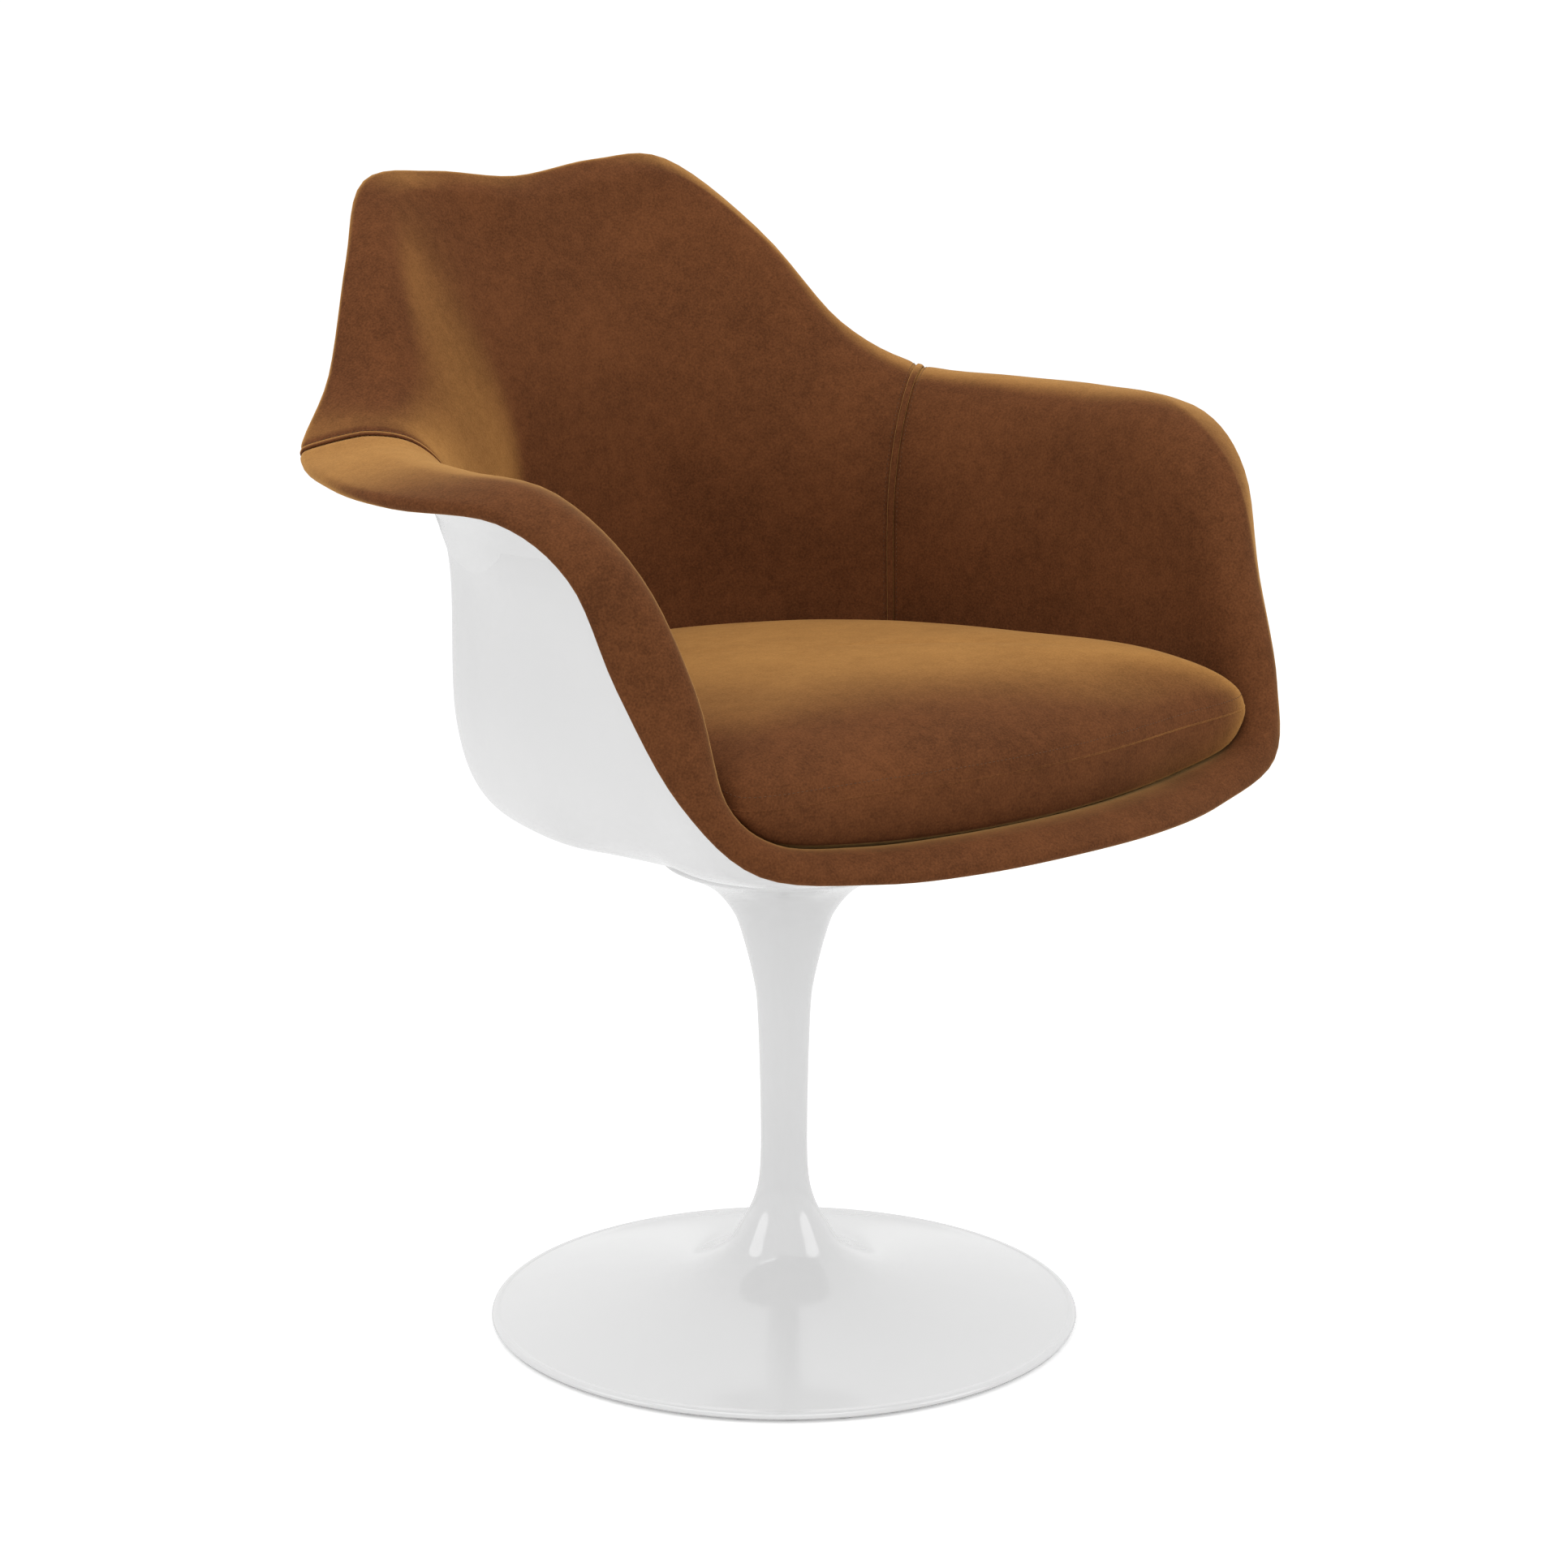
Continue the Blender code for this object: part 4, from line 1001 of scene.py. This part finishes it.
def seam_height(y):
    """The height of the top seam: up at the front corners, and down where legs press."""
    pressed = np.square(np.clip((DROOP_FROM - y) / DROOP_REACH, 0.0, 1.0))
    return CUSHION_SEAM_HEIGHT + corner_lift(y) - DROOP * pressed


def rounded(loop, passes):
    """A closed line with its corners rounded. Its last point repeats the first."""
    for _ in range(passes):
        ring = loop[:-1]
        ring = (np.roll(ring, 1, axis=0) + 2 * ring + np.roll(ring, -1, axis=0)) / 4
        loop = np.vstack((ring, ring[:1]))
    return loop


def cushion_outline(centre):
    """The cushion's outline in plan about its centre, a little clear of the lining."""
    seam_ring = ring_at(ALL_ROUND, CUSHION_SEAM_HEIGHT, CREST)
    wall = lining_face(ALL_ROUND, seam_ring) * (1, 1, 0) - centre
    wall = rounded(wall, CORNER_ROUNDING)
    reach = np.linalg.norm(wall, axis=-1, keepdims=True)
    return wall * ((reach - CUSHION_CLEARANCE) / reach)


def crowned_top(wall, centre):
    """The top panel, from its middle to the top seam. Its crown is higher towards the front."""
    top = centre + wall[:, None] * TOP_ROWS[None, :, None]
    crown = CUSHION_CROWN * (1 - TOP_ROWS**CROWN_FULLNESS) ** CROWN_SHOULDER
    lean = 1.0 - CROWN_TILT * (top[..., 1] - CUSHION_CENTRE)
    sunk = corner_lift(top[..., 1]) * (1 - TOP_ROWS**LIFT_FADE)
    top[..., 2] = seam_height(top[..., 1]) - sunk + crown * lean
    return top


def hem_line(wall, centre):
    """The edge of the bottom panel: against the lining, and over the lip in front."""
    hem_ring = ring_at(ALL_ROUND, CUSHION_HEM_HEIGHT, HEM_FROM_RING)
    hem = lining_face(ALL_ROUND, hem_ring, CUSHION_CLEARANCE)
    over_lip = centre + wall - unit(wall) * HEM_INSET
    clear = [height_under(place) + CUSHION_CLEARANCE for place in over_lip]
    over_lip[:, 2] = np.maximum(clear, CUSHION_HEM_HEIGHT)
    front = np.clip((FRONT_FROM - over_lip[:, 1:2]) / FRONT_BLEND, 0.0, 1.0)
    return hem + (over_lip - hem) * front


def underside(hem, centre):
    """The bottom panel, from its edge to its middle. It lies on the lining, and bridges its hollows."""
    under = centre + (hem - centre)[:, None] * UNDER_ROWS[None, :, None]
    for column in under:
        for place in column:
            place[2] = max(height_under(place), SEAT_TOP) + CUSHION_SEAT_GAP
    under[..., 2] = np.maximum(under[..., 2], rounded(under[..., 2], UNDER_ROUNDING))
    under[:, 0, 2] = np.maximum(under[:, 0, 2], hem[:, 2] - HEM_TUCK)
    return under


def cushion_places():
    """The cover from the middle of its top over the seam, the band and the hem to the middle below."""
    centre = np.array((0.0, CUSHION_CENTRE, 0.0))
    wall = cushion_outline(centre)
    top = crowned_top(wall, centre)
    hem = hem_line(wall, centre)
    band = top[:, -1:] + (hem[:, None] - top[:, -1:]) * BAND_ROWS[None, :, None]
    band += unit(wall)[:, None] * (BAND_BULGE * np.sin(np.pi * BAND_ROWS))[None, :, None]
    return np.concatenate((top, band, underside(hem, centre)), axis=1)


def ironed(mesh, move, fixed):
    """Evens out how far neighbouring vertices moved, so that no creases are left."""
    ends = np.empty(len(mesh.edges) * 2, int)
    mesh.edges.foreach_get("vertices", ends)
    first, second = ends.reshape(-1, 2).T
    count = np.bincount(ends, minlength=len(move))[:, None]
    for _ in range(IRON_PASSES):
        around = np.zeros_like(move)
        np.add.at(around, first, move[second])
        np.add.at(around, second, move[first])
        move = (move + around / count) / 2
        move[fixed] = 0.0
    return move


def puff(obj, held):
    """Blows a cover up with a short cloth simulation, while some vertices are held."""
    count = len(obj.data.vertices)
    start = np.empty(count * 3)
    obj.data.vertices.foreach_get("co", start)
    start = start.reshape(-1, 3)
    pins = obj.vertex_groups.new(name="held")
    fixed = held(start)
    pins.add([int(i) for i in np.flatnonzero(fixed)], 1.0, "REPLACE")
    cloth = obj.modifiers.new("puff", "CLOTH")
    cloth.settings.vertex_group_mass = "held"
    cloth.settings.use_pressure = True
    cloth.settings.uniform_pressure_force = PUFF_PRESSURE
    cloth.settings.tension_stiffness = CLOTH_STRETCH
    cloth.settings.compression_stiffness = CLOTH_STRETCH
    cloth.settings.shear_stiffness = CLOTH_SHEAR
    cloth.settings.bending_stiffness = CLOTH_BEND
    cloth.settings.effector_weights.gravity = 0.0
    cloth.point_cache.frame_start = 1
    cloth.point_cache.frame_end = PUFF_FRAMES
    for step in range(1, PUFF_FRAMES + 1):
        bpy.context.scene.frame_set(step)
    swollen = np.empty(count * 3)
    evaluated = obj.evaluated_get(bpy.context.evaluated_depsgraph_get())
    evaluated.data.vertices.foreach_get("co", swollen)
    obj.modifiers.remove(cloth)
    obj.vertex_groups.remove(pins)
    bpy.context.scene.frame_set(1)
    move = swollen.reshape(-1, 3) - start
    far = np.linalg.norm(move, axis=-1, keepdims=True)
    move *= PUFF_CAP / np.maximum(far, PUFF_CAP)
    move = ironed(obj.data, move, fixed)
    obj.data.vertices.foreach_set("co", (start + move).ravel())
    obj.data.update()
    print("puffed", obj.name, "by up to", round(float(np.linalg.norm(move, axis=-1).max()) / MM, 1), "mm")


CUSHION_PLACES = cushion_places()
TOP_SEAM_ROW = len(TOP_ROWS) - 1
HEM_ROW = TOP_SEAM_ROW + len(BAND_ROWS)


def seam_and_below(points):
    """Picks the vertices of the top seam and of all that lies under it."""
    return points[:, 2] < seam_height(points[:, 1]) + HELD_MARGIN


def cushion_painted_sheen(places):
    """Painted sheen on the cushion: less at the front right, more at the back left."""
    forward = CUSHION_SHEEN_PLACE - places[:, 1] - CUSHION_SHEEN_SLANT * places[:, 0]
    return CUSHION_SHEEN_DEPTH * np.clip(forward / CUSHION_SHEEN_BLEND, -1.0, 1.0)


def make_cushion():
    """The sewn cover, given its painted sheen and blown up."""
    cushion = surface_piece("cushion_cover", CUSHION_PLACES, VELVET)
    # Painted sheen: less at the front right of the cushion, more at the back left
    set_painted_sheen(cushion, cushion_painted_sheen)
    puff(cushion, seam_and_below)
    round_off(cushion)
    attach(cushion, "cushion")
    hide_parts("cushion_core", "cushion_top_panel", "cushion_band", "cushion_bottom_panel")
    return cushion


cushion_cover = make_cushion()
print("cushion faces:", len(cushion_cover.data.polygons))

# %% [markdown]
# Where the back panel meets the arms the lining has a lapped seam: a narrow raised welt that runs
# from the rim over the lip and down the wall, with a row of small stitches close to each side. Each
# stitch is a short rounded length of thread lying on the cloth.

# %% Side seams
WELT_WIDTH = 0.0052
WELT_RISE = 0.0012
WELT_SUNK = 0.0012
WELT_THICKNESS = 1.6 * WELT_RISE
WELT_COLUMNS = 9
RIDGE_FULLNESS = 4
STITCH_PITCH = 0.0034
STITCH_LENGTH = 0.0022
STITCH_RADIUS = 0.00026
STITCH_LIFT = 0.35 * STITCH_RADIUS
STITCH_OFFSET = 0.0046


def even_steps(points, pitch):
    """Places along a line of points at an even pitch."""
    along = np.concatenate(((0.0,), np.cumsum(np.linalg.norm(np.diff(points, axis=0), axis=-1))))
    wanted = np.arange(pitch / 2, along[-1], pitch)
    return np.stack([np.interp(wanted, along, points[:, axis]) for axis in range(3)], axis=-1)


def thread_mesh():
    """One stitch: a rounded length of thread along X, a little sunk in the cloth."""
    shape = bmesh.new()
    size = Matrix.Diagonal((STITCH_LENGTH / 2, STITCH_RADIUS, STITCH_RADIUS, 1.0))
    lift = Matrix.Translation((0.0, 0.0, STITCH_LIFT))
    bmesh.ops.create_uvsphere(shape, u_segments=6, v_segments=5, radius=1.0, matrix=lift @ size)
    return as_mesh("thread", shape)


THREAD_LENGTH = thread_mesh()


def row_of(piece, name, line, trees, pitch, finish):
    """Copies of a small mesh along a line, each laid on the nearest of the given surfaces."""
    places = even_steps(line, pitch)
    runs = np.gradient(places, axis=0) if len(places) > 1 else line[-1:] - line[:1]
    shape = bmesh.new()
    for place, run in zip(places, runs):
        found = [tree.find_nearest(Vector(place)) for tree in trees]
        spot, up = min(found, key=lambda hit: hit[3])[:2]
        forward = Vector(run).normalized()
        side = up.cross(forward).normalized()
        turn = Matrix((forward, side, forward.cross(side))).transposed().to_4x4()
        copied = piece.copy()
        copied.transform(Matrix.Translation(spot) @ turn)
        shape.from_mesh(copied)
        bpy.data.meshes.remove(copied)
    return add_object(name, shape, finish)


def stitch_row(name, line, trees):
    """A row of stitches along a line."""
    return row_of(THREAD_LENGTH, name, line, trees, STITCH_PITCH, THREAD)


def beside_seam(station, offset):
    """The wall's profile at a seam, moved some way to one side, and its directions outwards."""
    step = 0.02
    points, outward = wall_profile([station])
    run = unit(wall_profile([station + step])[0] - wall_profile([station - step])[0])
    return (points + run * offset)[0], outward[0]


def ridge(part, rise):
    """The height of a round ridge at a part of its half width, from -1 to 1."""
    return rise * np.sqrt(1.0 - np.abs(part) ** RIDGE_FULLNESS)


def seam_places(station):
    """The welt: a low round ridge that follows the seam from under the rim to the seat."""
    columns = []
    for part in np.linspace(-1.0, 1.0, WELT_COLUMNS):
        line, outward = beside_seam(station, part * WELT_WIDTH / 2)
        columns.append(line + outward * (ridge(part, WELT_RISE) - WELT_SUNK))
    return np.array(columns)


def make_side_seam(name, station):
    """The welt along one side seam."""
    welt = surface_piece(name, seam_places(station), VELVET)
    thicken(welt, WELT_THICKNESS)
    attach(welt, "seat")
    return welt


side_seams = []
for side_name, station in (("left", SEAM_STATION), ("right", ROUND - SEAM_STATION)):
    side_seams.append(make_side_seam(f"seam_{side_name}", station))
    for row_name, offset in (("front", -STITCH_OFFSET), ("back", STITCH_OFFSET)):
        line = beside_seam(station, offset)[0]
        threads = stitch_row(f"stitches_{side_name}_{row_name}", line, LINING_TREES)
        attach(threads, "seat")
print("side seams:", [seam.name for seam in side_seams])

# %% [markdown]
# The cushion's top panel and band meet in a narrow fold that carries a painted highlight, and a
# row of topstitching holds the seam flat just above it. Both are laid on the simulated cover.

# %% Cushion seam
TOPSTITCH_ROW = TOP_SEAM_ROW - 1
FOLD_WIDTH = 0.0015
FOLD_RISE = 0.0008
FOLD_SUNK = 0.0005
FOLD_THICKNESS = 1.2 * FOLD_RISE
FOLD_COLUMNS = 7
# More painted sheen on the fold: a painted highlight along the seam
FOLD_PAINTED_SHEEN = -0.25


def fold_places(tree):
    """A slim round ridge along the top seam, laid on the cover's own surface."""
    found = [tree.find_nearest(Vector(place)) for place in CUSHION_PLACES[:, TOP_SEAM_ROW]]
    line = np.array([hit[0] for hit in found])
    up = np.array([hit[1] for hit in found])
    run = np.gradient(line, axis=0)
    run[0] = run[-1] = run[0] + run[-1]
    up[0] = up[-1] = unit(up[0] + up[-1])
    side = unit(np.cross(up, run))
    parts = np.linspace(-1.0, 1.0, FOLD_COLUMNS)[:, None]
    height = ridge(parts, FOLD_RISE) - FOLD_SUNK
    return line[:, None] + side[:, None] * parts * FOLD_WIDTH / 2 + up[:, None] * height


def fold_painted_sheen(places):
    """More painted sheen everywhere, so that the fold shows as a light line of painted highlight."""
    return np.full(len(places), FOLD_PAINTED_SHEEN)


def make_cushion_seam():
    """The fold along the top seam, and the topstitching above it."""
    tree = surface_tree(cushion_cover)
    fold = surface_piece("cushion_seam", fold_places(tree), VELVET)
    # The fold carries a painted highlight
    set_painted_sheen(fold, fold_painted_sheen)
    thicken(fold, FOLD_THICKNESS)
    threads = stitch_row("stitches_cushion", CUSHION_PLACES[:, TOPSTITCH_ROW], [tree])
    for piece, slot_name in ((fold, "brown_velvet"), (threads, "zip_tape")):
        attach(piece, "cushion")


make_cushion_seam()
print("cushion seamed and stitched")

# %% [markdown]
# The cover comes off by a zip across the middle of the back of its band: a woven tape, a row of
# small teeth along the middle of it, and a flat slider with a pull at one end.

# %% Zip
ZIP_STATIONS = 2
ZIP_ROWS = np.linspace(0.3, 0.7, 9)
ZIP_END_POINTS = 3
TAPE_RISE = 0.0003
TAPE_THICKNESS = 0.0008
TOOTH_PITCH = 0.0022
TOOTH_SIZE = (0.0012, 0.0042, 0.0012)
SLIDER_SIZE = (0.0080, 0.0070, 0.0022)
PULL_SIZE = (0.0045, 0.0140, 0.0012)
BLOCK_EASE = 0.0003


def band_line(share):
    """A line along the back of the band, at a share of the way from its top seam to its hem."""
    first = (BACK_STATION - ZIP_STATIONS) * STATION_STEPS
    last = (BACK_STATION + ZIP_STATIONS) * STATION_STEPS
    columns = CUSHION_PLACES[first : last + 1, TOP_SEAM_ROW : HEM_ROW + 1]
    row = share * len(BAND_ROWS)
    low = min(int(row), len(BAND_ROWS) - 1)
    return columns[:, low] + (columns[:, low + 1] - columns[:, low]) * (row - low)


def zip_places():
    """The tape, standing off the band a little."""
    lines = np.stack([band_line(share) for share in ZIP_ROWS], axis=1)
    away = unit((lines - (0.0, CUSHION_CENTRE, 0.0)) * (1, 1, 0))
    return lines + away * (TAPE_RISE + TAPE_THICKNESS)


def block_mesh(size, place=(0.0, 0.0, 0.0)):
    """A small block with eased edges, standing on its place."""
    shape = bmesh.new()
    stand = Matrix.Translation(Vector(place) + Vector((0.0, 0.0, size[2] / 2)))
    bmesh.ops.create_cube(shape, size=1.0, matrix=stand @ Matrix.Diagonal((*size, 1.0)))
    bmesh.ops.bevel(shape, geom=shape.edges, offset=BLOCK_EASE, segments=2, affect="EDGES", profile=0.5)
    return as_mesh("block", shape)


def make_zip():
    """The tape with its teeth, its slider and the slider's pull."""
    places = zip_places()
    tape = surface_piece("zip_tape", places, TAPE)
    thicken(tape, TAPE_THICKNESS)
    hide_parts("cushion_zip")
    tree = surface_tree(tape)
    middle = places[:, len(ZIP_ROWS) // 2]
    teeth = row_of(block_mesh(TOOTH_SIZE), "zip_teeth", middle, [tree], TOOTH_PITCH, BLACK_NYLON)
    end = middle[:ZIP_END_POINTS]
    length = np.linalg.norm(end[-1] - end[0])
    slider = row_of(block_mesh(SLIDER_SIZE), "zip_slider", end, [tree], length, BRIGHT_STEEL)
    hang = (0.0, (SLIDER_SIZE[1] + PULL_SIZE[1]) / 2, 0.0)
    pull = row_of(block_mesh(PULL_SIZE, hang), "zip_pull", end, [tree], length, BRIGHT_STEEL)
    finishes = ("zip_tape", "black_nylon", "bright_steel", "bright_steel")
    for piece, finish in zip((tape, teeth, slider, pull), finishes):
        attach(piece, "cushion")
    return tape


zip_tape = make_zip()
print("zip faces:", len(zip_tape.data.polygons))

# %% [markdown]
# The small parts inside keep their solids, which are right as they are, and take the finishes made
# above.

# %% Finishes of the kept solids
SLEEVE_SCREWS = [f"sleeve_screw_{i}" for i in (1, 2, 3)]
SEAT_FASTENERS = [f"{kind}_{i}" for kind in ("seat_bolt", "seat_washer") for i in (1, 2, 3, 4)]
SWIVEL_PARTS = ["swivel_spindle", "thrust_washer", "retaining_washer"]
KEPT = [
    (BLACK_NYLON, ["floor_ring"]),
    (DARK_STEEL, ["bearing_sleeve", "load_plate", "retaining_ring"]),
    (NYLON, ["upper_bush", "lower_bush"]),
    (BRIGHT_STEEL, SWIVEL_PARTS + SLEEVE_SCREWS + SEAT_FASTENERS),
]
for finish, names in KEPT:
    for name in names:
        for slot in nodes[name].material_slots:
            slot.material = finish
print("kept solids:", sum(len(names) for _, names in KEPT))
